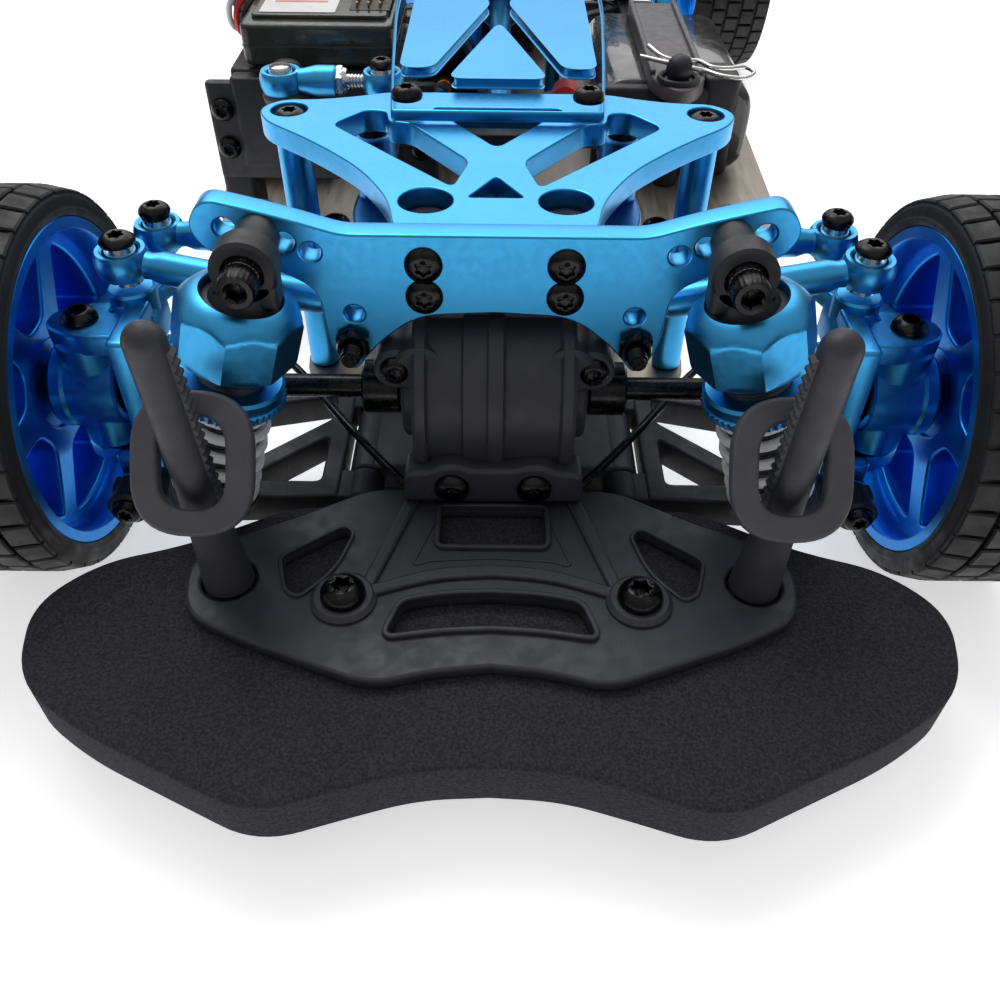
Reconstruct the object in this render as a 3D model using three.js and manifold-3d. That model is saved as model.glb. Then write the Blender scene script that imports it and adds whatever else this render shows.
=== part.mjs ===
// A 1:10 electric drift car without its body shell, as an assembly of separate pieces.
// Millimetres, +Z up. The car faces -Y and its left side is +X. The origin is on the ground, under
// the middle of the car's bounding box.
import * as THREE from "three";
import { mergeVertices } from "three/addons/utils/BufferGeometryUtils.js";
import Module from "manifold-3d";

const wasm = await Module();
wasm.setup();

// ---------------------------------------------------------------- driving dimensions
const GAP = 0.4; // clearance between neighbouring pieces

// wheels and axles
const TRACK = 190; // over the outer tyre walls
const WHEELBASE = 258;
const TYRE_RADIUS = 32.5;
const TYRE_WIDTH = 26;
const RIM_RADIUS = 27.6;
const RIM_BORE = 25.4;
const WHEEL_X = TRACK / 2 - TYRE_WIDTH / 2;
const WHEEL_Z = TYRE_RADIUS;
const SPOKES = 6;

// the foam nose reaches this far ahead of the front axle, and the rear tyres end the car
const NOSE_REACH = 69.5;
const LENGTH = NOSE_REACH + WHEELBASE + TYRE_RADIUS;
const FRONT_AXLE_Y = NOSE_REACH - LENGTH / 2;
const REAR_AXLE_Y = FRONT_AXLE_Y + WHEELBASE;

// chassis plate
const CHASSIS_BOTTOM = 5.5;
const CHASSIS_TOP = 8;

// suspension, measured in a corner's own frame: +X outboard, +Y from the axle to the car's middle
const ARM_HINGE_X = 23;
const ARM_PIN_X = 64;
const ARM_Z = 15;
const ARM_HALF_THICKNESS = 3;
const ARM_BARREL_RADIUS = 3.2;
const KINGPIN_X = 67.5;
const HUB_TUBE_RADIUS = 6.3;
const LINK_INNER = [22, 2.6, 47];
const LINK_OUTER = [60.3, 6, 52.6];
const LINK_RADIUS = 2.7;
const BALL_END_RADIUS = 4.4;
const SHOCK_TOP = [34, -15.5, 64.3];
const SHOCK_FOOT = [49, -15.5, 15];
const SHOCK_LENGTH = Math.hypot(...SHOCK_FOOT.map((value, i) => value - SHOCK_TOP[i]));
const TOWER_FRONT_Y = -7;
const TOWER_THICKNESS = 4;

// steering
const TIE_OUTER = [60.3, 24, 48];
const TIE_INNER = [28, 21, 48];
const STEERING_ARM_TOP = 42.2;
const CRANK_PIVOT = [24.5, 52];
const CRANK_REAR_REACH = 22.4;
const SERVO_SHAFT_X = -46;
const SERVO_Z = 43;
const HORN_LENGTH = 13.5;

// upper structure
const BRACE_TOP = 63.3;
const BRACE_THICKNESS = 4;
const BRACE_POST = [37.9, 41.7];
const BOSS = [10.9, 6.8]; // the gearbox bosses that come up through the brace
const DECK_FRONT_Y = 35.8;
const DECK_REAR_Y = WHEELBASE - 3.6;
const DECK_BAY = 25; // length of one triangle of the deck
const DECK_THICKNESS = 2;
const DECK_BOTTOM = BRACE_TOP + 0.3;

// drivetrain
const SHAFT_Z = 35;
const SHAFT_RADIUS = 3.2;
const SPUR_RADIUS = 17;
const PINION_RADIUS = 7.4;
const MOTOR_RADIUS = 18;
const MOTOR_X = -24;
const MOTOR_Z = SHAFT_Z - Math.sqrt((SPUR_RADIUS + PINION_RADIUS + GAP) ** 2 - MOTOR_X ** 2);
const MOTOR_LENGTH = 51;
const GEAR_Y = REAR_AXLE_Y - 50;
const GEAR_WIDTH = 5;

// bumper
const FOAM_BOTTOM = 8.4;
const FOAM_TOP = 17.5;
const BUMPER_PLATE_TOP = 20.4;
const CLAMP_FRONT_Y = -17;
const POST_X = 41;
const POST_Y = -33.2;
const RING_Z = 44.6;
const RING_TILT = THREE.MathUtils.degToRad(48);

// ---------------------------------------------------------------- materials
function finish(color, roughness, metalness) {
  return new THREE.MeshStandardMaterial({ color, roughness, metalness });
}
const BLUE = finish(0x1f9bd8, 0.32, 0.9);
const WHEEL_BLUE = finish(0x0b4fd0, 0.3, 0.9);
const CHASSIS_GREY = finish(0x857e74, 0.5, 0.8);
const BLACK_PLASTIC = finish(0x16171a, 0.6, 0);
const RUBBER = finish(0x17171a, 0.8, 0);
const FOAM = finish(0x2b2b2e, 0.95, 0);
const STEEL = finish(0xb9bcc0, 0.3, 1);
const SMOKED = finish(0x30332f, 0.2, 0);
const WRAP = finish(0x1b1c20, 0.4, 0);

// ---------------------------------------------------------------- building blocks
function solid(geometry) {
  const bare = geometry.index ? geometry.toNonIndexed() : geometry.clone();
  bare.deleteAttribute("normal");
  bare.deleteAttribute("uv");
  const merged = mergeVertices(bare, 1e-4);
  return new wasm.Manifold(
    new wasm.Mesh({
      numProp: 3,
      vertProperties: merged.attributes.position.array,
      triVerts: new Uint32Array(merged.index.array),
    }),
  );
}

function join(...solids) {
  return solids.reduce((sum, next) => sum.add(next));
}

function cut(body, ...tools) {
  return tools.reduce((rest, tool) => rest.subtract(tool), body);
}

function block([x0, x1], [y0, y1], [z0, z1]) {
  const box = new THREE.BoxGeometry(x1 - x0, y1 - y0, z1 - z0);
  return solid(box.translate((x0 + x1) / 2, (y0 + y1) / 2, (z0 + z1) / 2));
}

function ball([x, y, z], radius, segments = 8) {
  const sphere = new THREE.SphereGeometry(radius, segments, Math.round(segments * 0.6));
  return solid(sphere.translate(x, y, z));
}

// A cylinder or cone between two points.
function rod(from, to, radius, endRadius = radius, sides = 12) {
  const start = new THREE.Vector3(...from);
  const span = new THREE.Vector3(...to).sub(start);
  const cylinder = new THREE.CylinderGeometry(endRadius, radius, span.length(), sides);
  const turn = new THREE.Quaternion().setFromUnitVectors(
    new THREE.Vector3(0, 1, 0),
    span.clone().normalize(),
  );
  cylinder.applyQuaternion(turn);
  return solid(cylinder.translate(...start.addScaledVector(span, 0.5)));
}

// A profile of [radius, height] points turned about an axis through `at`, which points to `towards`.
function turned(profile, at, towards, segments) {
  const points = profile.map(([radius, height]) => new THREE.Vector2(radius, height));
  const lathe = new THREE.LatheGeometry(points, segments);
  const turn = new THREE.Quaternion().setFromUnitVectors(
    new THREE.Vector3(0, 1, 0),
    new THREE.Vector3(...towards).normalize(),
  );
  return solid(lathe.applyQuaternion(turn).translate(...at));
}

// A closed outline whose corners are rounded by `radius`.
function outlinePath(points, radius, PathClass) {
  const path = new PathClass();
  const corners = points.map(([x, y]) => new THREE.Vector2(x, y));
  if (THREE.ShapeUtils.isClockWise(corners)) corners.reverse();
  corners.forEach((corner, i) => {
    const before = corners[(i + corners.length - 1) % corners.length];
    const after = corners[(i + 1) % corners.length];
    const back = before.clone().sub(corner);
    const ahead = after.clone().sub(corner);
    const reach = Math.min(radius, back.length() * 0.45, ahead.length() * 0.45);
    const enter = corner.clone().addScaledVector(back.normalize(), reach);
    const leave = corner.clone().addScaledVector(ahead.normalize(), reach);
    if (i === 0) path.moveTo(enter.x, enter.y);
    else path.lineTo(enter.x, enter.y);
    path.quadraticCurveTo(corner.x, corner.y, leave.x, leave.y);
  });
  path.closePath();
  return path;
}

function circlePath([x, y], radius) {
  const sides = 8;
  const corners = Array.from({ length: sides }, (_, i) => {
    const angle = (i / sides) * Math.PI * 2;
    return new THREE.Vector2(x + radius * Math.cos(angle), y + radius * Math.sin(angle));
  });
  return new THREE.Path(corners);
}

// A flat plate between two heights. Holes are [[points], radius] or [centre, radius] pairs.
function plate(outline, corner, [z0, z1], holes = [], curveSegments = 2) {
  const shape = outlinePath(outline, corner, THREE.Shape);
  for (const [where, radius] of holes) {
    const isOutline = Array.isArray(where[0]);
    shape.holes.push(isOutline ? outlinePath(where, radius, THREE.Path) : circlePath(where, radius));
  }
  const options = { depth: z1 - z0, bevelEnabled: false, curveSegments };
  return solid(new THREE.ExtrudeGeometry(shape, options).translate(0, 0, z0));
}

// The same plate standing up: its outline is in X and Z, and it fills y0 to y1.
function uprightPlate(outline, corner, [y0, y1], holes = [], curveSegments = 2) {
  const shape = outlinePath(outline, corner, THREE.Shape);
  for (const [centre, radius] of holes) shape.holes.push(circlePath(centre, radius));
  const options = { depth: y1 - y0, bevelEnabled: false, curveSegments };
  const extruded = new THREE.ExtrudeGeometry(shape, options);
  return solid(extruded.rotateX(Math.PI / 2).translate(0, y1, 0));
}

// Half an outline, from the centre line round to the centre line, completed by its mirror image.
function mirrored(half) {
  const other = half.map(([x, y]) => [-x, y]).reverse();
  return [...half, ...other.filter(([x]) => x !== 0)];
}

function flipX(points) {
  return points.map(([x, y]) => [-x, y]);
}

const along = (from, to, share) => from.map((value, i) => value + (to[i] - value) * share);

// ---------------------------------------------------------------- the scene graph
const car = new THREE.Group();

function place(name, body, material, parent = car) {
  const made = body.getMesh();
  const geometry = new THREE.BufferGeometry();
  geometry.setAttribute("position", new THREE.BufferAttribute(made.vertProperties, 3));
  geometry.setIndex(new THREE.BufferAttribute(made.triVerts, 1));
  geometry.computeVertexNormals();
  const mesh = new THREE.Mesh(geometry, material);
  mesh.name = name;
  parent.add(mesh);
  return mesh;
}

// A frame centred on an axle. A corner frame is mirrored across the car and, at the rear, also
// end for end, so one description serves all four corners.
function axleFrame(axleY, side = 1, end = 1) {
  const frame = new THREE.Group();
  frame.position.y = axleY;
  frame.scale.set(side, end, 1);
  car.add(frame);
  return frame;
}
const front = axleFrame(FRONT_AXLE_Y);
const rear = axleFrame(REAR_AXLE_Y, 1, -1);

// ---------------------------------------------------------------- chassis and structure
function chassisPlate() {
  const rearY = (y) => WHEELBASE + y;
  const half = [
    [0, -12.5],
    [21, -12.5],
    [24, -8],
    [24, 26],
    [30, 34],
    [41, 36.5],
    [42, 46],
    [31, 50],
    [34, 64],
    [66, 88],
    [78, 112],
    [80, rearY(-68)],
    [70, rearY(-52)],
    [40, rearY(-42)],
    [25, rearY(-30)],
    [24, rearY(14)],
    [19, rearY(20)],
    [0, rearY(20)],
  ];
  return plate(mirrored(half), 3, [CHASSIS_BOTTOM, CHASSIS_TOP]);
}

function bumperFoam() {
  const half = [
    [0, -14.5],
    [34, -14.5],
    [50, -24.2],
    [60.5, -28.4],
    [68, -33.5],
    [70, -39],
    [68.5, -47],
    [60, -57],
    [38, -67.3],
    [29.5, -69.9],
    [20, -67.5],
    [8, -64.6],
    [0, -64.1],
  ];
  return plate(mirrored(half), 5, [FOAM_BOTTOM, FOAM_TOP], [], 3);
}

function bumperPlate() {
  const half = [
    [0, -12.4],
    [21, -12.4],
    [45, -25.8],
    [47.6, -31],
    [47, -37.5],
    [42.3, -42.6],
    [29, -48],
    [17, -52.4],
    [8.6, -51],
    [0, -49.3],
  ];
  const sideWindow = [
    [33.4, -28.9],
    [24.3, -22.3],
    [24.9, -30.9],
    [30.6, -36.3],
  ];
  const slot = mirrored([
    [0, -36.1],
    [13.2, -38],
    [15.3, -44],
    [0, -42.4],
  ]);
  const square = mirrored([
    [0, -17.3],
    [8.5, -17.3],
    [8.5, -25.8],
    [0, -25.8],
  ]);
  const windows = [
    [square, 1.5],
    [slot, 1.5],
    [sideWindow, 1.5],
    [flipX(sideWindow), 1.5],
  ];
  return plate(mirrored(half), 3, [FOAM_TOP + 0.3, BUMPER_PLATE_TOP], windows);
}

function bodyPost(side) {
  const foot = BUMPER_PLATE_TOP + 0.3;
  const profile = [
    [0, 0],
    [4.2, 0],
    [4, 6],
    [3.3, 14],
    [3.2, 42],
    [2.2, 45],
    [0, 46],
  ];
  return turned(profile, [side * POST_X, POST_Y, foot], [0, 0, 1], 12);
}

// A flexible oval ring, slipped over the post and tipped up at the back.
function postRing(side) {
  const oval = (halfWidth, halfLength) => [
    [halfWidth, halfLength],
    [halfWidth, -halfLength],
    [-halfWidth, -halfLength],
    [-halfWidth, halfLength],
  ];
  const [width, length, wall, thickness] = [8.7, 11.2, 3.9, 2.4];
  const shape = outlinePath(oval(width, length), width, THREE.Shape);
  shape.holes.push(outlinePath(oval(width - wall - 0.4, length - wall), width - wall, THREE.Path));
  const options = { depth: thickness, bevelEnabled: false, curveSegments: 5 };
  const ring = new THREE.ExtrudeGeometry(shape, options).translate(0, 0, -thickness / 2);
  ring.rotateX(RING_TILT);
  return solid(ring.translate(side * POST_X, POST_Y - 0.7, RING_Z));
}

// The gearbox that carries an axle's differential, the lower hinges and the tower.
function gearbox(bossTop, hasBumperClamp) {
  const parts = [
    block([-12.8, 12.8], [-11.5, 18], [CHASSIS_TOP + 0.3, WHEEL_Z]),
    rod([-12.5, 0, WHEEL_Z + 1], [12.5, 0, WHEEL_Z + 1], 15.5, 15.5, 24),
    block([-12.5, 12.5], [TOWER_FRONT_Y + TOWER_THICKNESS + 0.4, 12], [WHEEL_Z, BRACE_TOP - 5]),
    block([-9, 9], [12, 17], [WHEEL_Z - 8, WHEEL_Z + 12]),
  ];
  for (const side of [-1, 1]) {
    parts.push(rod([side * BOSS[0], BOSS[1], 40], [side * BOSS[0], BOSS[1], bossTop], 4));
    const lug = side > 0 ? [12, ARM_HINGE_X] : [-ARM_HINGE_X, -12];
    parts.push(block(lug, [-4.6, 12.6], [ARM_Z - 3, ARM_Z + 3]));
    const hinge = side * ARM_HINGE_X;
    parts.push(rod([hinge, -4.6, ARM_Z], [hinge, 12.6, ARM_Z], ARM_BARREL_RADIUS));
  }
  if (hasBumperClamp) {
    const ear = [
      [15, 21.2],
      [15, 28],
      [13.4, 29.4],
      [-13.4, 29.4],
      [-15, 28],
      [-15, 21.2],
    ];
    parts.push(uprightPlate(ear, 1, [CLAMP_FRONT_Y, CLAMP_FRONT_Y + 6]));
  }
  const body = join(...parts);
  // the tower stands in a slot in front of the upper half
  const slot = [TOWER_FRONT_Y - 0.4, TOWER_FRONT_Y + TOWER_THICKNESS + 0.4];
  return cut(body, block([-46, 46], slot, [40, 80]));
}

function shockTower() {
  const half = [
    [0, 64.6],
    [22.2, 64.6],
    [31.1, 67.4],
    [41.6, 69.9],
    [44, 65.6],
    [42, 61.7],
    [31.6, 58.5],
    [26.6, 55.6],
    [25.9, 47.2],
    [24.8, 43.3],
    [22.4, 40.5],
    [18.6, 45.6],
    [12, 51.2],
    [0, 51.8],
  ];
  const holes = [
    [[38.6, 65.3], 1.6],
    [[30.4, 63.2], 1.6],
    [[26.6, 61.6], 1.6],
    [[21.4, 51.4], 1.6],
  ];
  const both = holes.concat(holes.map(([[x, z], radius]) => [[-x, z], radius]));
  const span = [TOWER_FRONT_Y, TOWER_FRONT_Y + TOWER_THICKNESS];
  return uprightPlate(mirrored(half), 1.6, span, both, 1);
}

// The X-shaped front brace with the two posts that stand on the chassis.
function frontBrace() {
  const bottom = BRACE_TOP - BRACE_THICKNESS;
  const half = [
    [0, -2],
    [15.4, -2],
    [17.4, 8],
    [22.2, 16.9],
    [32, 28.3],
    [40.5, 36.8],
    [43.2, 42.5],
    [38, 47],
    [29.4, 47.2],
    [20.3, 50.6],
    [0, 50.6],
  ];
  const nose = [
    [0, 15.3],
    [4.3, 7.8],
    [-4.3, 7.8],
  ];
  const side = [
    [7, 11.9],
    [5, 21],
    [18, 40],
    [22, 43],
    [28.7, 35.6],
  ];
  const back = [
    [0, 26],
    [-14, 43.5],
    [14, 43.5],
  ];
  const windows = [
    [nose, 1],
    [side, 2],
    [flipX(side), 2],
    [back, 2],
    [BOSS, 4.7],
    [[-BOSS[0], BOSS[1]], 4.7],
  ];
  const legs = [-1, 1].map((s) => {
    const [x, y] = [s * BRACE_POST[0], BRACE_POST[1]];
    return rod([x, y, CHASSIS_TOP + 0.3], [x, y, bottom + 1], 2.5);
  });
  return join(plate(mirrored(half), 2, [bottom, BRACE_TOP], windows), ...legs);
}

// The long upper deck: two rails joined by a run of triangles.
function upperDeck() {
  const half = [
    [0, DECK_FRONT_Y],
    [18.7, DECK_FRONT_Y],
    [19.2, 60],
    [21.5, 110],
    [21.5, DECK_REAR_Y - 60],
    [17, DECK_REAR_Y - 20],
    [16, DECK_REAR_Y],
    [0, DECK_REAR_Y],
  ];
  const windows = [];
  const firstBay = DECK_FRONT_Y + 18.2;
  const bays = Math.floor((DECK_REAR_Y - 22 - firstBay) / DECK_BAY);
  for (let i = 0; i < bays; i++) {
    const near = firstBay + i * DECK_BAY;
    const far = near + DECK_BAY - 4;
    const wide = i % 2 === 0 ? near : far;
    const narrow = i % 2 === 0 ? far : near;
    const lean = Math.sign(narrow - wide);
    const triangle = [
      [-10, wide],
      [10, wide],
      [0, narrow],
    ];
    const corner = [
      [14.4, wide + lean * 1.5],
      [14.4, narrow],
      [5, narrow],
    ];
    windows.push([triangle, 2], [corner, 2], [flipX(corner), 2]);
  }
  return plate(mirrored(half), 3, [DECK_BOTTOM, DECK_BOTTOM + DECK_THICKNESS], windows, 1);
}

place("chassis_plate", chassisPlate(), CHASSIS_GREY, front);
place("bumper_foam", bumperFoam(), FOAM, front);
place("bumper_plate", bumperPlate(), BLACK_PLASTIC, front);
place("front_gearbox", gearbox(BRACE_TOP - 3, true), BLACK_PLASTIC, front);
place("rear_gearbox", gearbox(BRACE_TOP, false), BLACK_PLASTIC, rear);
place("front_shock_tower", shockTower(), BLUE, front);
place("rear_shock_tower", shockTower(), BLUE, rear);
place("front_brace", frontBrace(), BLUE, front);
place("upper_deck", upperDeck(), BLUE, front);
for (const [side, name] of [[1, "left"], [-1, "right"]]) {
  place("body_post_" + name, bodyPost(side), BLACK_PLASTIC, front);
  place("post_ring_" + name, postRing(side), RUBBER, front);
}

// ---------------------------------------------------------------- electronics
function steeringServo() {
  const [left, right] = [SERVO_SHAFT_X - 22, SERVO_SHAFT_X + 32];
  const body = block([left + 7, right - 7], [84, 122], [SERVO_Z - 11, SERVO_Z + 11]);
  const ears = block([left, right], [84.5, 87.5], [SERVO_Z - 13, SERVO_Z + 9]);
  const stands = [
    block([left, left + 8], [84.5, 96], [CHASSIS_TOP + 0.3, SERVO_Z - 10]),
    block([right - 10, right], [84.5, 96], [CHASSIS_TOP + 0.3, SERVO_Z - 10]),
  ];
  return join(body, ears, ...stands);
}

function receiver() {
  return block([-57, -23], [88, 122], [54.6, 64]);
}

// The cells, and over them a hold-down bar whose round front end is held by a post.
function batteryPack() {
  const cells = [
    [27, 137],
    [66, 137],
    [71, 157],
    [74, 188],
    [66, 202],
    [27, 202],
  ];
  const bar = [
    [41.5, 131],
    [45, 127],
    [53, 127],
    [56.5, 131],
    [56.5, 201],
    [41.5, 201],
  ];
  return join(
    plate(cells, 5, [CHASSIS_TOP + 0.3, 34], [], 3),
    plate(bar, 2, [33, 37]),
    rod([48.6, 132, CHASSIS_TOP + 0.3], [48.6, 132, 42.6], 3.6),
  );
}

function speedController() {
  return block([-74, -48], [132, 172], [CHASSIS_TOP + 0.3, 30]);
}

// The motor can with the mount that stands on the chassis behind it.
function motor() {
  const [x, z] = [MOTOR_X, MOTOR_Z];
  const can = rod([x, GEAR_Y - 7 - MOTOR_LENGTH, z], [x, GEAR_Y - 7, z], MOTOR_RADIUS, MOTOR_RADIUS, 24);
  const mount = block([x - 19, x + 17], [GEAR_Y - 8, GEAR_Y - 5], [CHASSIS_TOP + 0.3, z + 12]);
  return join(can, mount);
}

place("steering_servo", steeringServo(), BLACK_PLASTIC, front);
place("receiver", receiver(), SMOKED, front);
place("battery_pack", batteryPack(), WRAP, front);
place("speed_controller", speedController(), BLACK_PLASTIC, front);
place("motor", motor(), STEEL);

// ---------------------------------------------------------------- drivetrain
function centerShaft() {
  const [start, end] = [FRONT_AXLE_Y + 18.5, REAR_AXLE_Y - 18.5];
  return join(
    rod([0, start, SHAFT_Z], [0, end, SHAFT_Z], SHAFT_RADIUS),
    rod([0, start, SHAFT_Z], [0, start + 10, SHAFT_Z], 5),
    rod([0, end - 10, SHAFT_Z], [0, end, SHAFT_Z], 5),
    rod([0, GEAR_Y, SHAFT_Z], [0, GEAR_Y + GEAR_WIDTH, SHAFT_Z], SPUR_RADIUS, SPUR_RADIUS, 24),
  );
}

function motorPinion() {
  const at = (y) => [MOTOR_X, y, MOTOR_Z];
  return rod(at(GEAR_Y - 4.6), at(GEAR_Y + GEAR_WIDTH + 1), PINION_RADIUS, PINION_RADIUS, 20);
}

place("center_shaft", centerShaft(), BLUE);
place("motor_pinion", motorPinion(), STEEL);

// ---------------------------------------------------------------- steering
function servoHorn() {
  const hub = rod([SERVO_SHAFT_X, 79.4, SERVO_Z], [SERVO_SHAFT_X, 83.6, SERVO_Z], 5);
  const arm = uprightPlate(
    [
      [SERVO_SHAFT_X - 4.4, SERVO_Z],
      [SERVO_SHAFT_X + 4.4, SERVO_Z],
      [SERVO_SHAFT_X + 3, SERVO_Z + HORN_LENGTH + 3],
      [SERVO_SHAFT_X - 3, SERVO_Z + HORN_LENGTH + 3],
    ],
    1.5,
    [79.4, 82],
  );
  return join(hub, arm);
}

// A link with a ball end at each end.
function ballLink(from, to, radius) {
  return join(
    ball(from, BALL_END_RADIUS),
    ball(to, BALL_END_RADIUS),
    rod(from, to, radius, radius, 8),
  );
}

function servoLink() {
  const [y, z] = [CRANK_PIVOT[1] + CRANK_REAR_REACH, SERVO_Z + HORN_LENGTH];
  return ballLink([SERVO_SHAFT_X, y, z], [-CRANK_PIVOT[0], y, z], LINK_RADIUS);
}

// A bellcrank: its post, the forward arm to the tie rod and the rearward arm to the drag link.
function bellcrank() {
  const [x, y] = CRANK_PIVOT;
  const [tieX, tieY] = TIE_INNER;
  const forward = [
    [x - 4, y],
    [x + 4, y],
    [tieX + 3.6, tieY - 3.4],
    [tieX - 3.6, tieY - 3.4],
  ];
  const rearward = [
    [x - 4, y],
    [x - 3.4, y + CRANK_REAR_REACH + 3.4],
    [x + 3.4, y + CRANK_REAR_REACH + 3.4],
    [x + 4, y],
  ];
  return join(
    rod([x, y, CHASSIS_TOP + 0.3], [x, y, 55], 4.4),
    plate(forward.reverse(), 2, [STEERING_ARM_TOP - 4, STEERING_ARM_TOP]),
    plate(rearward.reverse(), 2, [47.4, 51.4]),
  );
}

place("servo_horn", servoHorn(), BLUE, front);
place("servo_link", servoLink(), BLUE, front);

// ---------------------------------------------------------------- corner pieces
function lowerArm() {
  const z = [ARM_Z - ARM_HALF_THICKNESS, ARM_Z + ARM_HALF_THICKNESS];
  const outline = [
    [26.8, -12],
    [67, -12.2],
    [67, 12.2],
    [54, 16],
    [26.8, 20],
  ];
  const windows = [
    [[[31, -7.6], [44, -7.6], [31, 3.4]], 1.5],
    [[[31, 9.6], [46, -4.6], [46, 12.6], [31, 15.6]], 1.5],
  ];
  const web = plate(outline, 2, z, windows);
  const barrels = [
    [-12, -5],
    [13, 20],
  ].flatMap(([y0, y1]) => [
    rod([ARM_HINGE_X, y0, ARM_Z], [ARM_HINGE_X, y1, ARM_Z], ARM_BARREL_RADIUS),
    block([ARM_HINGE_X, 28], [y0, y1], [ARM_Z - 2.6, ARM_Z + 2.6]),
  ]);
  const hubSlot = block([ARM_PIN_X - 13, ARM_PIN_X + 8], [-7.6, 7.6], [z[0] - 1, z[1] + 1]);
  return cut(join(web, ...barrels), hubSlot);
}

// The part of a front caster block or a rear hub carrier that turns on the arm's outer pin.
function hubFoot(top) {
  return join(
    rod([ARM_PIN_X, -7.2, ARM_Z], [ARM_PIN_X, 7.2, ARM_Z], ARM_BARREL_RADIUS),
    block([57, 66.5], [-7.2, 7.2], [ARM_Z, top]),
  );
}

function linkPost(bottom) {
  const [x, y, z] = LINK_OUTER;
  return rod([x, y, bottom], [x, y, z - BALL_END_RADIUS - GAP], 3.6);
}

// The C-shaped block between arm and knuckle; its web has a hole for the drive shaft.
function casterBlock() {
  const web = cut(
    block([56.6, 60.4], [-9.6, 9.6], [21, 47]),
    block([56, 61], [3.6, 10], [36.8, 43.4]), // room for the knuckle's steering arm
  );
  const horn = (z) =>
    join(block([58, KINGPIN_X], [-5.2, 5.2], z), kingpinDisc(z, 5.2));
  const body = join(web, hubFoot(21.6), horn([43, 47]), horn([18, 21.6]), linkPost(44));
  return cut(body, rod([50, 0, WHEEL_Z], [62, 0, WHEEL_Z], 7));
}

function kingpinDisc([z0, z1], radius) {
  return rod([KINGPIN_X, 0, z0], [KINGPIN_X, 0, z1], radius);
}

// The bore that lets the drive shaft's outer end into a knuckle or hub carrier.
function hubBore() {
  return rod([60, 0, WHEEL_Z], [71.4, 0, WHEEL_Z], 5);
}

function hubTube() {
  return rod([63.2, 0, WHEEL_Z], [75, 0, WHEEL_Z], HUB_TUBE_RADIUS, HUB_TUBE_RADIUS, 16);
}

function steeringKnuckle() {
  const [x, y] = TIE_OUTER;
  const arm = plate(
    [
      [KINGPIN_X - 4.6, 2],
      [KINGPIN_X + 4.6, 2],
      [x + 3.6, y + 3.4],
      [x - 3.6, y + 3.4],
    ],
    2,
    [STEERING_ARM_TOP - 4, STEERING_ARM_TOP - GAP],
  );
  const arms = join(
    arm,
    rod([x, y, STEERING_ARM_TOP - 3], [x, y, STEERING_ARM_TOP], 3.2),
    kingpinDisc([37, 43 - GAP], 5),
    kingpinDisc([21.6 + GAP, 28], 5),
  );
  return cut(join(hubTube(), arms), hubBore());
}

function rearHub() {
  const riser = block([58, 66.5], [-6, 6], [18, 38]);
  const [x, y] = LINK_OUTER;
  const upper = block([x - 4, x + 4], [-6, y + 4], [36, 44]);
  return cut(join(hubFoot(21.6), riser, upper, linkPost(40), hubTube()), hubBore(), shaftPassage());
}

function shaftPassage() {
  return rod([50, 0, WHEEL_Z], [64, 0, WHEEL_Z], 5);
}

function driveShaft() {
  return join(
    rod([15.8, 0, WHEEL_Z], [21, 0, WHEEL_Z], 4.6),
    rod([18, 0, WHEEL_Z], [66, 0, WHEEL_Z], 2, 2, 8),
    rod([62, 0, WHEEL_Z], [66.4, 0, WHEEL_Z], 3.2),
  );
}

// The upper half of a shock: eyelet, octagonal cap, threaded tube and adjuster collar.
function shockBody() {
  const at = (reach) => along(SHOCK_TOP, SHOCK_FOOT, reach / SHOCK_LENGTH);
  const eyelet = rod(
    [SHOCK_TOP[0], SHOCK_TOP[1] - 3, SHOCK_TOP[2]],
    [SHOCK_TOP[0], SHOCK_TOP[1] + 3, SHOCK_TOP[2]],
    4.2,
  );
  const body = join(
    eyelet,
    rod(SHOCK_TOP, at(5), 3.2),
    rod(at(4), at(7), 6, 8.6, 8),
    rod(at(7), at(15), 8.6, 8.6, 8),
    rod(at(14), at(34), 5.2),
    rod(at(18.6), at(22.4), 8.4, 8.4, 14),
  );
  return cut(body, rod(at(24), at(36), 2.2, 2.2, 8));
}

// The lower half: piston rod, spring seat and foot.
function shockRod() {
  const at = (reach) => along(SHOCK_TOP, SHOCK_FOOT, reach / SHOCK_LENGTH);
  const [x, y, z] = SHOCK_FOOT;
  return join(
    rod(at(29.5), at(SHOCK_LENGTH), 1.5, 1.5, 8),
    rod(at(43), at(44.7), 7.2, 7.2, 14),
    rod(at(44), at(47.4), 4.4, 3.2),
    rod([x, y - 2.8, z], [x, y + 2.8, z], 3.4),
  );
}

function wheelRim() {
  const [inner, outer] = [WHEEL_X - TYRE_WIDTH / 2 + 0.5, WHEEL_X + TYRE_WIDTH / 2 - 0.5];
  const barrel = turned(
    [
      [RIM_BORE, inner],
      [RIM_RADIUS, inner],
      [RIM_RADIUS, inner + 1],
      [RIM_RADIUS - 1.2, inner + 1],
      [RIM_RADIUS - 1.2, outer - 1],
      [RIM_RADIUS, outer - 1],
      [RIM_RADIUS, outer],
      [RIM_BORE, outer],
      [RIM_BORE, inner],
    ],
    [0, 0, WHEEL_Z],
    [1, 0, 0],
    24,
  );
  const hub = rod([75.6, 0, WHEEL_Z], [89, 0, WHEEL_Z], 6, 7.4, 12);
  const spoke = block([83, 88], [-2.4, 2.4], [5, RIM_BORE + 0.6]);
  const spokes = Array.from({ length: SPOKES }, (_, i) => {
    const turnedSpoke = spoke.rotate([(360 / SPOKES) * i, 0, 0]);
    return turnedSpoke.translate([0, 0, WHEEL_Z]);
  });
  return join(barrel, hub, ...spokes);
}

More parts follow.
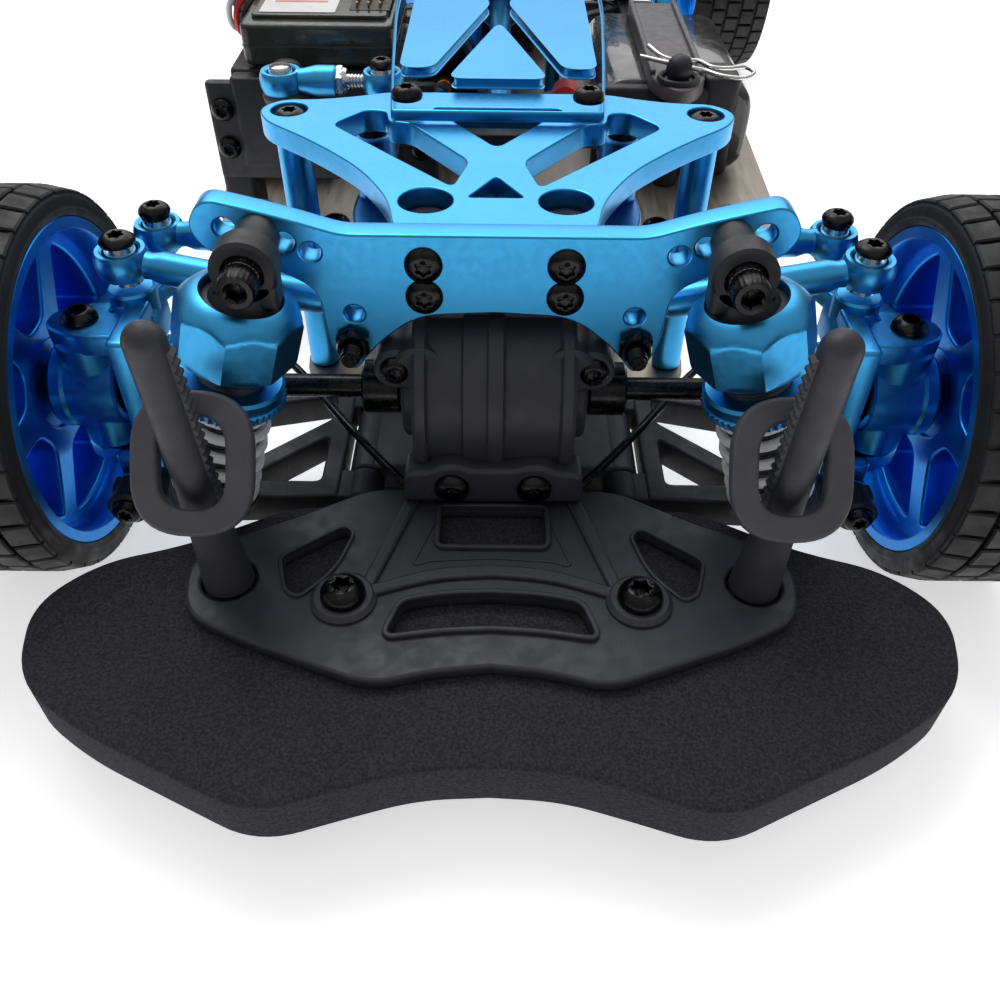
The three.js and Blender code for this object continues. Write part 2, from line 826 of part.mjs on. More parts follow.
function tyre() {
  const [inner, outer] = [WHEEL_X - TYRE_WIDTH / 2, WHEEL_X + TYRE_WIDTH / 2];
  const bead = RIM_RADIUS + 0.3;
  const seat = RIM_RADIUS - 0.9;
  return turned(
    [
      [seat, inner + 1.8],
      [bead, inner + 1.8],
      [bead, inner + 0.4],
      [TYRE_RADIUS - 2.4, inner],
      [TYRE_RADIUS - 0.6, inner + 1.4],
      [TYRE_RADIUS, inner + 3.6],
      [TYRE_RADIUS, outer - 3.6],
      [TYRE_RADIUS - 0.6, outer - 1.4],
      [TYRE_RADIUS - 2.4, outer],
      [bead, outer - 0.4],
      [bead, outer - 1.8],
      [seat, outer - 1.8],
      [seat, inner + 1.8],
    ],
    [0, 0, WHEEL_Z],
    [1, 0, 0],
    28,
  );
}

// ---------------------------------------------------------------- the four corners
for (const [end, axleY, direction] of [["front", FRONT_AXLE_Y, 1], ["rear", REAR_AXLE_Y, -1]]) {
  for (const [sideName, side] of [["left", 1], ["right", -1]]) {
    const corner = axleFrame(axleY, side, direction);
    const label = (piece) => `${piece}_${end}_${sideName}`;
    place(label("lower_arm"), lowerArm(), BLACK_PLASTIC, corner);
    if (end === "front") {
      place("caster_block_" + sideName, casterBlock(), BLUE, corner);
      place("steering_knuckle_" + sideName, steeringKnuckle(), BLUE, corner);
      place("bellcrank_" + sideName, bellcrank(), BLUE, corner);
      place("tie_rod_" + sideName, ballLink(TIE_INNER, TIE_OUTER, LINK_RADIUS), BLUE, corner);
    } else {
      place("rear_hub_" + sideName, rearHub(), BLUE, corner);
    }
    place(label("upper_link"), ballLink(LINK_INNER, LINK_OUTER, LINK_RADIUS), BLUE, corner);
    place(label("drive_shaft"), driveShaft(), STEEL, corner);
    place(label("shock_body"), shockBody(), BLUE, corner);
    place(label("shock_rod"), shockRod(), STEEL, corner);
    place(label("wheel_rim"), wheelRim(), WHEEL_BLUE, corner);
    place(label("tyre"), tyre(), RUBBER, corner);
  }
}

export default car;
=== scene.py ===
"""The looks of a 1:10 drift car without its body shell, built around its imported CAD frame.

Shapes are made in millimetres in the frame of an axle: +X outboard or left, +Y from the axle to the
middle of the car, +Z up from the ground. A corner of the car mirrors that frame.
"""
import math

import bmesh
import bpy
from mathutils import Matrix, Vector
from mathutils.geometry import tessellate_polygon


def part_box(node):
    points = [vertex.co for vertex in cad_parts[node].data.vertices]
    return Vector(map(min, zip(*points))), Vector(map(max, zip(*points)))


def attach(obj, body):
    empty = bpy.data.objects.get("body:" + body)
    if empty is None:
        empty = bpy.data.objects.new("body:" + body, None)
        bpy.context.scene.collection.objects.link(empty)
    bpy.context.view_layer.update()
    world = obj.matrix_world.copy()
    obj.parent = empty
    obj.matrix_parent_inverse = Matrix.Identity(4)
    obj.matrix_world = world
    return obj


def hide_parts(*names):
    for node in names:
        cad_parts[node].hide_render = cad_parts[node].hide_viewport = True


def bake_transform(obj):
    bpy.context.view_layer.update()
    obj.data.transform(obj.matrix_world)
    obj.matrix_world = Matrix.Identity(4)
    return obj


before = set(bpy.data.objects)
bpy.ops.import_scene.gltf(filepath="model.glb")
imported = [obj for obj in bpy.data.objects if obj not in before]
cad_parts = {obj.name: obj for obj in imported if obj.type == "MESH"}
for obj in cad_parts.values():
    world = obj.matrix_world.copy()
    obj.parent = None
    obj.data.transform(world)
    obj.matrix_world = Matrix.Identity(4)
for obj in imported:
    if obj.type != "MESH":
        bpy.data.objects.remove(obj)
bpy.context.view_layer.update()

MM = 0.001
PI = math.pi
UP, DOWN = (0, 0, 1), (0, 0, -1)
OUTBOARD = (1, 0, 0)
FORWARD, REARWARD = (0, -1, 0), (0, 1, 0)
BOTH = (1, -1)


# ---------------------------------------------------------------- frames of reference
def middle(node, axis):
    low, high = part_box(node)
    return (low[axis] + high[axis]) / 2 / MM


class Axle:
    """Maps millimetres in an axle's or a corner's frame to metres in the car's frame."""

    def __init__(self, name, axle_y, side=1, end=1):
        self.name, self.axle_y, self.side, self.end = name, axle_y, side, end

    def __call__(self, point):
        x, y, z = point
        return Vector((self.side * x, self.axle_y + self.end * y, z)) * MM


FRONT_Y = middle("tyre_front_left", 1)
REAR_Y = middle("tyre_rear_left", 1)
WHEELBASE = REAR_Y - FRONT_Y
FRONT = Axle("front", FRONT_Y)
REAR = Axle("rear", REAR_Y, 1, -1)
SIDES = (("left", 1), ("right", -1))
CORNERS = [
    Axle(f"{end}_{side}", axle_y, sign, direction)
    for end, axle_y, direction in (("front", FRONT_Y, 1), ("rear", REAR_Y, -1))
    for side, sign in SIDES
]

# ---------------------------------------------------------------- places shared with the CAD part
WHEEL_X = middle("tyre_front_left", 0)
WHEEL_Z = middle("tyre_front_left", 2)
TYRE_RADIUS = WHEEL_Z
TYRE_HALF_WIDTH = 13
RIM_RADIUS = 27.6
RIM_BORE = 25.4
CHASSIS_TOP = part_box("chassis_plate")[1].z / MM
CHASSIS_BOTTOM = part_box("chassis_plate")[0].z / MM
FOAM_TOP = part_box("bumper_foam")[1].z / MM
FOAM_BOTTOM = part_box("bumper_foam")[0].z / MM
PLATE_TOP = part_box("bumper_plate")[1].z / MM
BRACE_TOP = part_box("front_brace")[1].z / MM
DECK_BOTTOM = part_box("upper_deck")[0].z / MM
DECK_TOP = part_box("upper_deck")[1].z / MM
ARM_HINGE_X = 23
ARM_PIN_X = 64
ARM_Z = 15
KINGPIN_X = 67.5
LINK_INNER = Vector((22, 2.6, 47))
LINK_OUTER = Vector((60.3, 6, 52.6))
SHOCK_TOP = Vector((34, -15.5, 64.3))
SHOCK_FOOT = Vector((49, -15.5, 15))
TOWER_FACE_Y = -7
TOWER_THICKNESS = 4
TIE_OUTER = Vector((60.3, 24, 48))
TIE_INNER = Vector((28, 21, 48))
STEERING_ARM_TOP = 42.2
CRANK_PIVOT = (24.5, 52)
CRANK_REAR_REACH = 22.4
SERVO_SHAFT = (-46, 43)
HORN_LENGTH = 13.5
SHAFT_Z = 35
SPUR_RADIUS = 17
MOTOR_X = middle("motor_pinion", 0)
MOTOR_Z = middle("motor_pinion", 2)
GEAR_Y = WHEELBASE - 50
POST_X = 41
POST_Y = -33.2
BRACE_POST = (37.9, 41.7)
BOSS = (10.9, 6.8)


# ---------------------------------------------------------------- outlines
def rounded(points, radius=2.0, steps=5):
    """A closed outline with rounded corners; a point's third number is its own radius."""
    outline = []
    count = len(points)
    for i, point in enumerate(points):
        corner = Vector(point[:2])
        back = Vector(points[i - 1][:2]) - corner
        ahead = Vector(points[(i + 1) % count][:2]) - corner
        own = point[2] if len(point) > 2 else radius
        reach = min(own, back.length * 0.48, ahead.length * 0.48)
        if reach < 0.05:
            outline.append(corner)
            continue
        enter, leave = corner + back.normalized() * reach, corner + ahead.normalized() * reach
        for k in range(steps + 1):
            t = k / steps
            outline.append(enter * (1 - t) ** 2 + corner * 2 * t * (1 - t) + leave * t**2)
    return outline


def circle(x, y, radius, count=28):
    angles = [2 * PI * i / count for i in range(count)]
    return [Vector((x + radius * math.cos(a), y + radius * math.sin(a))) for a in angles]


def flip(points):
    return [(-p[0], *p[1:]) for p in points]


def mirrored(half):
    """Half an outline, from the centre line round to the centre line, completed by its mirror."""
    return list(half) + [p for p in flip(reversed(half)) if abs(p[0]) > 1e-6]


def oriented(loop, counter_clockwise):
    area = sum(a.x * b.y - b.x * a.y for a, b in zip(loop, loop[1:] + loop[:1]))
    return loop if (area > 0) == counter_clockwise else loop[::-1]


def inset(loop, distance):
    """The loop moved to its left by a distance."""
    moved = []
    for i, point in enumerate(loop):
        before = (point - loop[i - 1]).normalized()
        after = (loop[(i + 1) % len(loop)] - point).normalized()
        left = Vector((-before.y - after.y, before.x + after.x))
        moved.append(point + left * (distance * 2 / max(left.length_squared, 1.2)))
    return moved


# ---------------------------------------------------------------- shapes: (points, faces)
def joined(*shapes):
    points, faces = [], []
    for shape_points, shape_faces in shapes:
        start = len(points)
        points += shape_points
        faces += [tuple(i + start for i in face) for face in shape_faces]
    return points, faces


def mapped(shape, function):
    return [function(p) for p in shape[0]], shape[1]


def turned_by(shape, degrees, axis, about):
    turn = Matrix.Rotation(math.radians(degrees), 3, axis)
    centre = Vector(about)
    return mapped(shape, lambda p: turn @ (p - centre) + centre)


def bridge(a, b):
    if len(a) == 1:
        return [(a[0], b[i], b[(i + 1) % len(b)]) for i in range(len(b))]
    if len(b) == 1:
        return [(a[i], a[(i + 1) % len(a)], b[0]) for i in range(len(a))]
    count = len(a)
    return [(a[i], a[(i + 1) % count], b[(i + 1) % count], b[i]) for i in range(count)]


def plate(outline, z, holes=(), edge=0.4, steps=3):
    """A flat plate between two heights, with rounded edges along its outline and its holes."""
    low, high = z
    loops = [oriented(outline, True)] + [oriented(list(hole), False) for hole in holes]
    quarter = [k / steps * PI / 2 for k in range(steps + 1)]
    levels = [(edge * (1 - math.sin(a)), low + edge * (1 - math.cos(a))) for a in quarter]
    levels += [(depth, low + high - level) for depth, level in reversed(levels)]
    points, faces, caps = [], [], ([], [])
    for loop in loops:
        rings = []
        for depth, level in levels:
            ring = [Vector((p.x, p.y, level)) for p in inset(loop, depth)]
            rings.append(range(len(points), len(points) + len(ring)))
            points += ring
        for a, b in zip(rings, rings[1:]):
            faces += bridge(a, b)
        caps[0].append(rings[0])
        caps[1].append(rings[-1])
    for cap in caps:
        indices = [i for ring in cap for i in ring]
        flat = [[points[i].to_2d().to_3d() for i in ring] for ring in cap]
        faces += [tuple(indices[i] for i in triangle) for triangle in tessellate_polygon(flat)]
    return points, faces


def upright(outline, y, holes=(), edge=0.4):
    """A plate that stands across the car: its outline is in X and Z."""
    return mapped(plate(outline, y, holes, edge), lambda p: Vector((p.x, p.z, p.y)))


def sideways(outline, x, holes=(), edge=0.4):
    """A plate that stands along the car: its outline is in Y and Z."""
    return mapped(plate(outline, x, holes, edge), lambda p: Vector((p.z, p.x, p.y)))


def block(x, y, z, corner=1.0, edge=0.4):
    outline = [(x[0], y[0]), (x[1], y[0]), (x[1], y[1]), (x[0], y[1])]
    return plate(rounded(outline, corner), z, edge=edge)


def ring_scale(pattern, angle, radius):
    """How a turned ring's radius changes round it: a polygon's sides, lobes, a knurl, or cut flats."""
    if isinstance(pattern, int):
        part = 2 * PI / pattern
        return math.cos(part / 2) / math.cos(angle % part - part / 2)
    kind, count, depth = pattern
    if kind == "flats":
        part = 2 * PI / count
        return min(1, depth / math.cos(angle % part - part / 2) / radius)
    wave = math.cos(count * angle)
    return 1 + depth * (wave if kind == "lobes" else max(-0.4, min(0.4, wave)))


def turned(profile, at=(0, 0, 0), towards=(0, 0, 1), segments=40, closed=False):
    """A profile of (radius, height) or (radius, height, pattern) rows, turned about an axis."""
    axis = Vector(towards).normalized()
    start = Vector(at)
    across = axis.cross(Vector((0, 1, 0)) if abs(axis.y) < 0.9 else Vector((1, 0, 0))).normalized()
    over = axis.cross(across)
    points, rings = [], []
    for radius, height, *pattern in profile:
        centre = start + axis * height
        if radius < 1e-6:
            rings.append([len(points)])
            points.append(centre)
            continue
        rings.append(list(range(len(points), len(points) + segments)))
        for i in range(segments):
            angle = 2 * PI * i / segments
            reach = radius * (ring_scale(pattern[0], angle, radius) if pattern else 1)
            points.append(centre + (across * math.cos(angle) + over * math.sin(angle)) * reach)
    faces = [f for a, b in zip(rings, rings[1:]) for f in bridge(a, b)]
    if closed:
        faces += bridge(rings[-1], rings[0])
    else:
        faces += [tuple(ring) for ring in (rings[0], rings[-1]) if len(ring) > 1]
    return points, faces


def rod(start, end, radius, end_radius=None, edge=0.3, segments=28):
    start, end = Vector(start), Vector(end)
    length = (end - start).length
    last = radius if end_radius is None else end_radius
    profile = [(0, 0), (radius - edge, 0), (radius, edge), (last, length - edge)]
    profile += [(last - edge, length), (0, length)]
    return turned(profile, start, end - start, segments)


def pipe(start, end, outer, inner, edge=0.3, segments=36):
    start, end = Vector(start), Vector(end)
    length = (end - start).length
    profile = [(inner, edge), (inner + edge, 0), (outer - edge, 0), (outer, edge)]
    profile += [(outer, length - edge), (outer - edge, length), (inner + edge, length)]
    profile += [(inner, length - edge)]
    return turned(profile, start, end - start, segments, closed=True)


def ball(centre, radius, squash=1.0, segments=24):
    rows = segments // 2
    angles = [-PI / 2 + PI * i / rows for i in range(rows + 1)]
    profile = [(max(0, radius * math.cos(a)), radius * squash * math.sin(a)) for a in angles]
    profile[0], profile[-1] = (0, profile[0][1]), (0, profile[-1][1])
    return turned(profile, centre, (0, 0, 1), segments)


def tube(points, radius, sides=12, closed=False):
    """A round wire along a run of points."""
    path = [Vector(p) for p in points]
    count = len(path)
    rings, made = [], []
    normal = None
    for i, point in enumerate(path):
        before = path[i - 1] if i or closed else point
        after = path[(i + 1) % count] if i < count - 1 or closed else point
        tangent = (after - before).normalized()
        side = tangent.orthogonal() if normal is None else normal - tangent * normal.dot(tangent)
        normal = side.normalized()
        other = tangent.cross(normal)
        rings.append(list(range(len(made), len(made) + sides)))
        for k in range(sides):
            angle = 2 * PI * k / sides
            made.append(point + (normal * math.cos(angle) + other * math.sin(angle)) * radius)
    faces = [f for a, b in zip(rings, rings[1:]) for f in bridge(a, b)]
    if closed:
        faces += bridge(rings[-1], rings[0])
    else:
        faces += [tuple(rings[0]), tuple(rings[-1])]
    return made, faces


def curve_through(points, steps=8):
    """A smooth run of points through a few given ones."""
    knots = [Vector(p) for p in points]
    knots = [knots[0] * 2 - knots[1], *knots, knots[-1] * 2 - knots[-2]]
    run = []
    for a, b, c, d in zip(knots, knots[1:], knots[2:], knots[3:]):
        for k in range(steps):
            t = k / steps
            bend = a * (-t + 2 * t**2 - t**3) + b * (2 - 5 * t**2 + 3 * t**3)
            run.append((bend + c * (t + 4 * t**2 - 3 * t**3) + d * (t**3 - t**2)) / 2)
    return run + [knots[-2]]


# ---------------------------------------------------------------- materials
class Look:
    """A procedural material: colours, roughness and bump driven by noise in the car's own space."""

    def __init__(self, name, slot, colour, roughness, metallic=0.0, **sockets):
        self.material = bpy.data.materials.new(name)
        self.material["slot"] = slot
        self.material.use_nodes = True
        self.nodes = self.material.node_tree.nodes
        self.links = self.material.node_tree.links
        self.shader = self.nodes["Principled BSDF"]
        self.set("Base Color", (*colour, 1))
        self.set("Roughness", roughness)
        self.set("Metallic", metallic)
        for socket, value in sockets.items():
            self.set(socket.replace("_", " "), value)
        self.place = self.nodes.new("ShaderNodeTexCoord").outputs["Object"]

    def set(self, socket, value):
        self.shader.inputs[socket].default_value = value

    def noise(self, scale, detail=4.0, stretch=None):
        """Noise whose features are about 1/scale metres."""
        place = self.place
        if stretch:
            mapping = self.nodes.new("ShaderNodeMapping")
            mapping.inputs["Scale"].default_value = stretch
            self.links.new(place, mapping.inputs["Vector"])
            place = mapping.outputs["Vector"]
        node = self.nodes.new("ShaderNodeTexNoise")
        node.inputs["Scale"].default_value = scale
        node.inputs["Detail"].default_value = detail
        self.links.new(place, node.inputs["Vector"])
        return node.outputs["Fac"]

    def cells(self, scale):
        node = self.nodes.new("ShaderNodeTexVoronoi")
        node.inputs["Scale"].default_value = scale
        self.links.new(self.place, node.inputs["Vector"])
        return node.outputs["Distance"]

    def ramp(self, value, *stops):
        node = self.nodes.new("ShaderNodeValToRGB")
        ramp = node.color_ramp
        while len(ramp.elements) < len(stops):
            ramp.elements.new(0.5)
        for element, (position, colour) in zip(ramp.elements, stops):
            element.position = position
            element.color = (*colour, 1) if hasattr(colour, "__len__") else (colour,) * 3 + (1,)
        self.links.new(value, node.inputs["Fac"])
        return node.outputs["Color"]

    def mix(self, share, a, b):
        node = self.nodes.new("ShaderNodeMix")
        node.data_type = "RGBA"
        self.links.new(share, node.inputs["Factor"])
        for name, value in (("A", a), ("B", b)):
            socket = next(s for s in node.inputs if s.name == name and s.type == "RGBA")
            if hasattr(value, "is_output"):
                self.links.new(value, socket)
            else:
                socket.default_value = (*value, 1)
        return next(s for s in node.outputs if s.type == "RGBA")

    def colour_from(self, output):
        self.links.new(output, self.shader.inputs["Base Color"])
        return self

    def cloudy(self, scale, detail, dark, light, spread=(0.3, 0.7)):
        """Base colour drifting between two, in patches of about 1/scale metres."""
        return self.colour_from(self.ramp(self.noise(scale, detail), (spread[0], dark), (spread[1], light)))

    def rough(self, value, low, high):
        self.links.new(self.ramp(value, (0.35, low), (0.65, high)), self.shader.inputs["Roughness"])
        return self

    def bump(self, value, distance, strength=0.5):
        node = self.nodes.new("ShaderNodeBump")
        node.inputs["Strength"].default_value = strength
        node.inputs["Distance"].default_value = distance * MM
        self.links.new(value, node.inputs["Height"])
        before = self.shader.inputs["Normal"].links
        if before:
            self.links.new(before[0].from_socket, node.inputs["Normal"])
        self.links.new(node.outputs["Normal"], self.shader.inputs["Normal"])
        return self


def anodised(name, slot, deep, bright, roughness):
    """Bead-blasted, anodised aluminium: a fine even grain under a slightly cloudy dye."""
    look = Look(name, slot, bright, roughness, 1.0)
    look.cloudy(60, 3, deep, bright)
    look.rough(look.noise(900, 2), roughness - 0.03, roughness + 0.04)
    return look.bump(look.noise(5200, 2), 0.004, 0.25).material


def chassis_finish():
    look = Look("chassis_satin", "chassis_aluminium", (0.2, 0.18, 0.155), 0.42, 0.85)
    look.cloudy(45, 5, (0.25, 0.225, 0.195), (0.32, 0.29, 0.25))
    look.rough(look.noise(700, 3, (1, 0.08, 1)), 0.38, 0.52)
    return look.bump(look.noise(2600, 2, (1, 0.06, 1)), 0.02, 0.3).material


def moulded(name, slot, colour, lighter, roughness, grain=0.06):
    """Injection-moulded plastic with a spark-eroded grain and faint cloudiness."""
    look = Look(name, slot, colour, roughness, 0.0, Specular_IOR_Level=0.45)
    look.cloudy(180, 6, colour, lighter, (0.35, 0.75))
    look.rough(look.noise(420, 4), roughness - 0.08, roughness + 0.08)
    return look.bump(look.noise(2400, 3), grain, 0.45).material


def tyre_finish():
    look = Look("tyre_compound", "tyre_rubber", (0.014, 0.014, 0.015), 0.6, 0.0, Specular_IOR_Level=0.4)
    dust = look.ramp(look.noise(1500, 6), (0.7, (0.009, 0.009, 0.0105)), (0.82, (0.04, 0.04, 0.043)))
    worn = look.ramp(look.noise(90, 4), (0.35, (0.009, 0.009, 0.0105)), (0.7, (0.019, 0.019, 0.021)))
    look.colour_from(look.mix(look.noise(70, 3), dust, worn))
    look.rough(look.noise(350, 5), 0.48, 0.7)
    look.bump(look.noise(1300, 4), 0.08, 0.4)
    return look.bump(look.noise(260, 3), 0.1, 0.25).material


def foam_finish():
    """Closed-cell foam: tiny cells, speckled lighter and darker."""
    look = Look("bumper_foam_cells", "foam", (0.03, 0.03, 0.032), 0.9, 0.0, Specular_IOR_Level=0.25)
    fine = look.ramp(look.noise(2300, 3), (0.38, (0.014, 0.0132, 0.017)), (0.66, (0.055, 0.051, 0.062)))
    wide = look.ramp(look.noise(160, 4), (0.3, (0.024, 0.0225, 0.028)), (0.75, (0.034, 0.032, 0.04)))
    share = look.ramp(look.noise(900, 2), (0.3, 0.45), (0.7, 0.8))
    look.colour_from(look.mix(share, wide, fine))
    look.bump(look.cells(1900), 0.16, 0.55)
    return look.bump(look.noise(700, 3), 0.12, 0.35).material


def metal(name, slot, colour, lighter, low, high, grain=0.01):
    look = Look(name, slot, colour, (low + high) / 2, 1.0)
    look.cloudy(500, 3, colour, lighter)
    look.rough(look.noise(1500, 3), low, high)
    return look.bump(look.noise(3000, 2), grain, 0.3).material


def spring_finish():
    look = Look("spring_white", "steel", (0.84, 0.84, 0.86), 0.35, 0.0, Coat_Weight=0.4)
    look.cloudy(300, 4, (0.74, 0.74, 0.77), (0.86, 0.86, 0.88), (0.3, 0.6))
    return look.bump(look.noise(1200, 3), 0.02, 0.3).material


def wrap_finish():
    """Shrink film over the battery, wavy and glossy."""
    look = Look("battery_film", "battery_wrap", (0.03, 0.028, 0.03), 0.24, 0.0, Coat_Weight=0.5)
    look.cloudy(70, 4, (0.02, 0.019, 0.022), (0.05, 0.046, 0.048))
    look.rough(look.noise(200, 4), 0.16, 0.34)
    return look.bump(look.noise(110, 4, (1, 0.35, 0.5)), 0.9, 0.5).material


def smoked_finish():
    look = Look("smoked_case", "smoked_plastic", (0.06, 0.065, 0.055), 0.16, 0.0,
                Transmission_Weight=0.55, IOR=1.45)
    look.cloudy(90, 3, (0.055, 0.06, 0.052), (0.09, 0.095, 0.08))
    look.rough(look.noise(260, 3), 0.12, 0.24)
    return look.bump(look.noise(500, 3), 0.03, 0.3).material


def soft_colour(name, slot, colour, lighter, roughness=0.5):
    look = Look(name, slot, colour, roughness)
    look.cloudy(240, 4, colour, lighter)
    look.rough(look.noise(400, 3), roughness - 0.08, roughness + 0.1)
    return look.bump(look.noise(1500, 3), 0.03, 0.35).material


BLUE = anodised("blue_anodised", "blue_aluminium", (0.05, 0.36, 0.7), (0.06, 0.39, 0.75), 0.34)
DEEP_BLUE = anodised("crank_blue", "blue_aluminium", (0.02, 0.13, 0.36), (0.03, 0.17, 0.44), 0.32)
WHEEL_BLUE = anodised("wheel_anodised", "wheel_blue", (0.01, 0.24, 0.72), (0.014, 0.28, 0.78), 0.34)
CHASSIS = chassis_finish()
PLASTIC = moulded("black_moulding", "black_plastic", (0.029, 0.0297, 0.039), (0.038, 0.0388, 0.05), 0.5)
DARK = moulded(
    "matt_black_moulding", "black_plastic", (0.011, 0.011, 0.014), (0.017, 0.017, 0.021), 0.52)
RUBBER = moulded("ring_rubber", "rubber", (0.058, 0.057, 0.071), (0.075, 0.073, 0.09), 0.55, 0.03)
TYRE = tyre_finish()
FOAM = foam_finish()
STEEL = metal("bright_steel", "steel", (0.62, 0.61, 0.6), (0.74, 0.73, 0.71), 0.14, 0.3)
BLACK_STEEL = metal("black_oxide", "steel", (0.022, 0.021, 0.022), (0.04, 0.038, 0.038), 0.2, 0.36)
THREAD = metal("thread_grey", "steel", (0.07, 0.065, 0.07), (0.12, 0.115, 0.12), 0.35, 0.5)
BRASS = metal("brass", "steel", (0.6, 0.42, 0.18), (0.7, 0.5, 0.24), 0.25, 0.4)
COPPER = metal("copper_winding", "steel", (0.5, 0.2, 0.08), (0.62, 0.28, 0.12), 0.3, 0.5)
SPRING = spring_finish()
WRAP = wrap_finish()
SMOKED = smoked_finish()
STRAP = soft_colour("strap_grey", "battery_wrap", (0.085, 0.077, 0.08), (0.12, 0.11, 0.112), 0.46)
LABEL = soft_colour("label_white", "smoked_plastic", (0.72, 0.7, 0.7), (0.82, 0.8, 0.8), 0.4)
LABEL_MARK = soft_colour("label_mark", "smoked_plastic", (0.62, 0.2, 0.2), (0.7, 0.3, 0.3), 0.5)
WIRE_WHITE = soft_colour("wire_white", "rubber", (0.7, 0.69, 0.69), (0.8, 0.79, 0.79))
WIRE_RED = soft_colour("wire_red", "rubber", (0.55, 0.025, 0.02), (0.7, 0.05, 0.035))
WIRE_BLACK = soft_colour("wire_black", "rubber", (0.012, 0.012, 0.013), (0.022, 0.022, 0.024))
BOARD = soft_colour("circuit_board", "smoked_plastic", (0.02, 0.07, 0.03), (0.03, 0.1, 0.045), 0.4)


# ---------------------------------------------------------------- making a piece
def piece(name, parts, body, at=FRONT, replaces=(), sharp=34):
    """One object from (shape, material) pairs. It rides on a body and may stand for CAD nodes."""
    points, faces, kinds, materials = [], [], [], []
    for (shape_points, shape_faces), material in parts:
        if material not in materials:
            materials.append(material)
        start = len(points)
        points += [at(p) for p in shape_points]
        faces += [tuple(i + start for i in face) for face in shape_faces]
        kinds += [materials.index(material)] * len(shape_faces)
    mesh = bpy.data.meshes.new(name)
    mesh.from_pydata(points, [], faces)
    for material in materials:
        mesh.materials.append(material)
    mesh.polygons.foreach_set("material_index", kinds)
    work = bmesh.new()
    work.from_mesh(mesh)
    bmesh.ops.recalc_face_normals(work, faces=work.faces)
    for face in work.faces:
        face.smooth = len(face.verts) == 4
    for edge in work.edges:
        if len(edge.link_faces) == 2 and edge.calc_face_angle(0) > math.radians(sharp):
            edge.smooth = False
    work.to_mesh(mesh)
    work.free()
    made = bpy.data.objects.new(name, mesh)
    bpy.context.scene.collection.objects.link(made)
    if body:
        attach(made, body)
    if replaces:
        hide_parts(*replaces)
    return made


# ---------------------------------------------------------------- fasteners
LOBES = ("lobes", 6, 0.16)


def button_head(at, towards, radius=3.0, height=1.8):
    """A domed screw head with a six-lobe socket."""
    socket = radius * 0.42
    profile = [
        (0, -0.2),
        (radius * 0.96, -0.2),
        (radius, 0.15),
        (radius * 0.96, height * 0.42),
        (radius * 0.8, height * 0.76),
        (radius * 0.62, height * 0.94),
        (socket * 1.25, height),
        (socket, height * 0.97, LOBES),
        (socket * 0.96, height * 0.25, LOBES),
        (0, height * 0.1),
    ]
    return turned(profile, at, towards, 48)


def cap_head(at, towards, radius=2.9, height=4.4):
    """A socket-head screw with a knurled rim and a hexagon socket."""
    knurl = ("knurl", 24, 0.05)
    profile = [
        (0, -0.2),
        (radius * 0.94, -0.2),
        (radius, 0.3, knurl),
        (radius, height - 0.5, knurl),
        (radius * 0.9, height),
        (radius * 0.62, height),
        (radius * 0.56, height - 0.3, 6),
        (radius * 0.54, height - 2.2, 6),
        (0, height - 2.4),
    ]
    return turned(profile, at, towards, 96)


def nut(at, towards, radius=3.4, height=3.0, bore=1.6):
    """A hexagon lock nut with a screw end showing."""
    profile = [
        (0, -0.1),
        (radius * 0.92, -0.1, 6),
        (radius, 0.4, 6),
        (radius, height * 0.62, 6),
        (radius * 0.86, height * 0.68),
        (radius * 0.78, height),
        (bore * 1.15, height),
        (bore, height * 0.8),
        (bore * 0.9, height * 1.35),
        (0, height * 1.4),
    ]
    return turned(profile, at, towards, 48)


def threaded(start, end, radius, pitch=0.8, depth=0.28, segments=32):
    """A threaded bar: a ridge and a groove for each pitch."""
    start, end = Vector(start), Vector(end)
    length = (end - start).length
    profile = [(0, 0), (radius - depth, 0)]
    for i in range(int(length / pitch)):
        profile += [(radius, (i + 0.3) * pitch), (radius, (i + 0.55) * pitch)]
        profile += [(radius - depth, (i + 0.95) * pitch)]
    profile += [(radius - depth, length), (0, length)]
    return turned(profile, start, end - start, segments)


# ---------------------------------------------------------------- ball links
def ball_eye(centre, axis=UP, radius=4.5):
    """The rounded eye of a rod end, open along its axis."""
    rows = 12
    bore = 2.9
    height = 2.2
    profile = [(bore, -height + 0.3), (bore, height - 0.3), (bore + 0.4, height)]
    for i in range(rows + 1):
        z = height * (1 - 2 * i / rows)
        profile.append((math.sqrt(radius**2 - z**2), z))
    profile.append((bore + 0.4, -height))
    return turned(profile, centre, axis, 36, closed=True)


def ball_and_pin(centre, axis=UP, up=3.6, down=3.6):
    """The bright ball inside an eye, on its pin."""
    profile = [(0, -down), (2.4, -down), (2.2, -3), (2.45, -2.2), (2.85, -1), (2.9, 0)]
    profile += [(2.85, 1), (2.45, 2.2), (2.2, 3), (2.4, up), (0, up)]
    return turned(profile, centre, axis, 28)


def link_bar(start, end, radius=2.7, eye=4.5):
    """The bar between two eyes, necked down behind each of them."""
    span = Vector(end) - Vector(start)
    length = span.length
    profile = [
        (0, eye - 1.2),
        (radius * 0.85, eye - 1.2),
        (radius * 0.8, eye + 0.4),
        (radius, eye + 2.2),
        (radius, length - eye - 2.2),
        (radius * 0.8, length - eye - 0.4),
        (radius * 0.85, length - eye + 1.2),
        (0, length - eye + 1.2),
    ]
    return turned(profile, start, span, 28)


def ball_link(name, body, start, end, node, at, outer_screw):
    parts = [
        (joined(link_bar(start, end), ball_eye(start), ball_eye(end)), BLUE),
        (joined(ball_and_pin(start), ball_and_pin(end)), STEEL),
        (button_head(Vector(start) + Vector((0, 0, 3.4)), UP, 2.6, 1.6), BLACK_STEEL),
        (outer_screw, BLACK_STEEL),
    ]
    return piece(name, parts, body, at, [node])


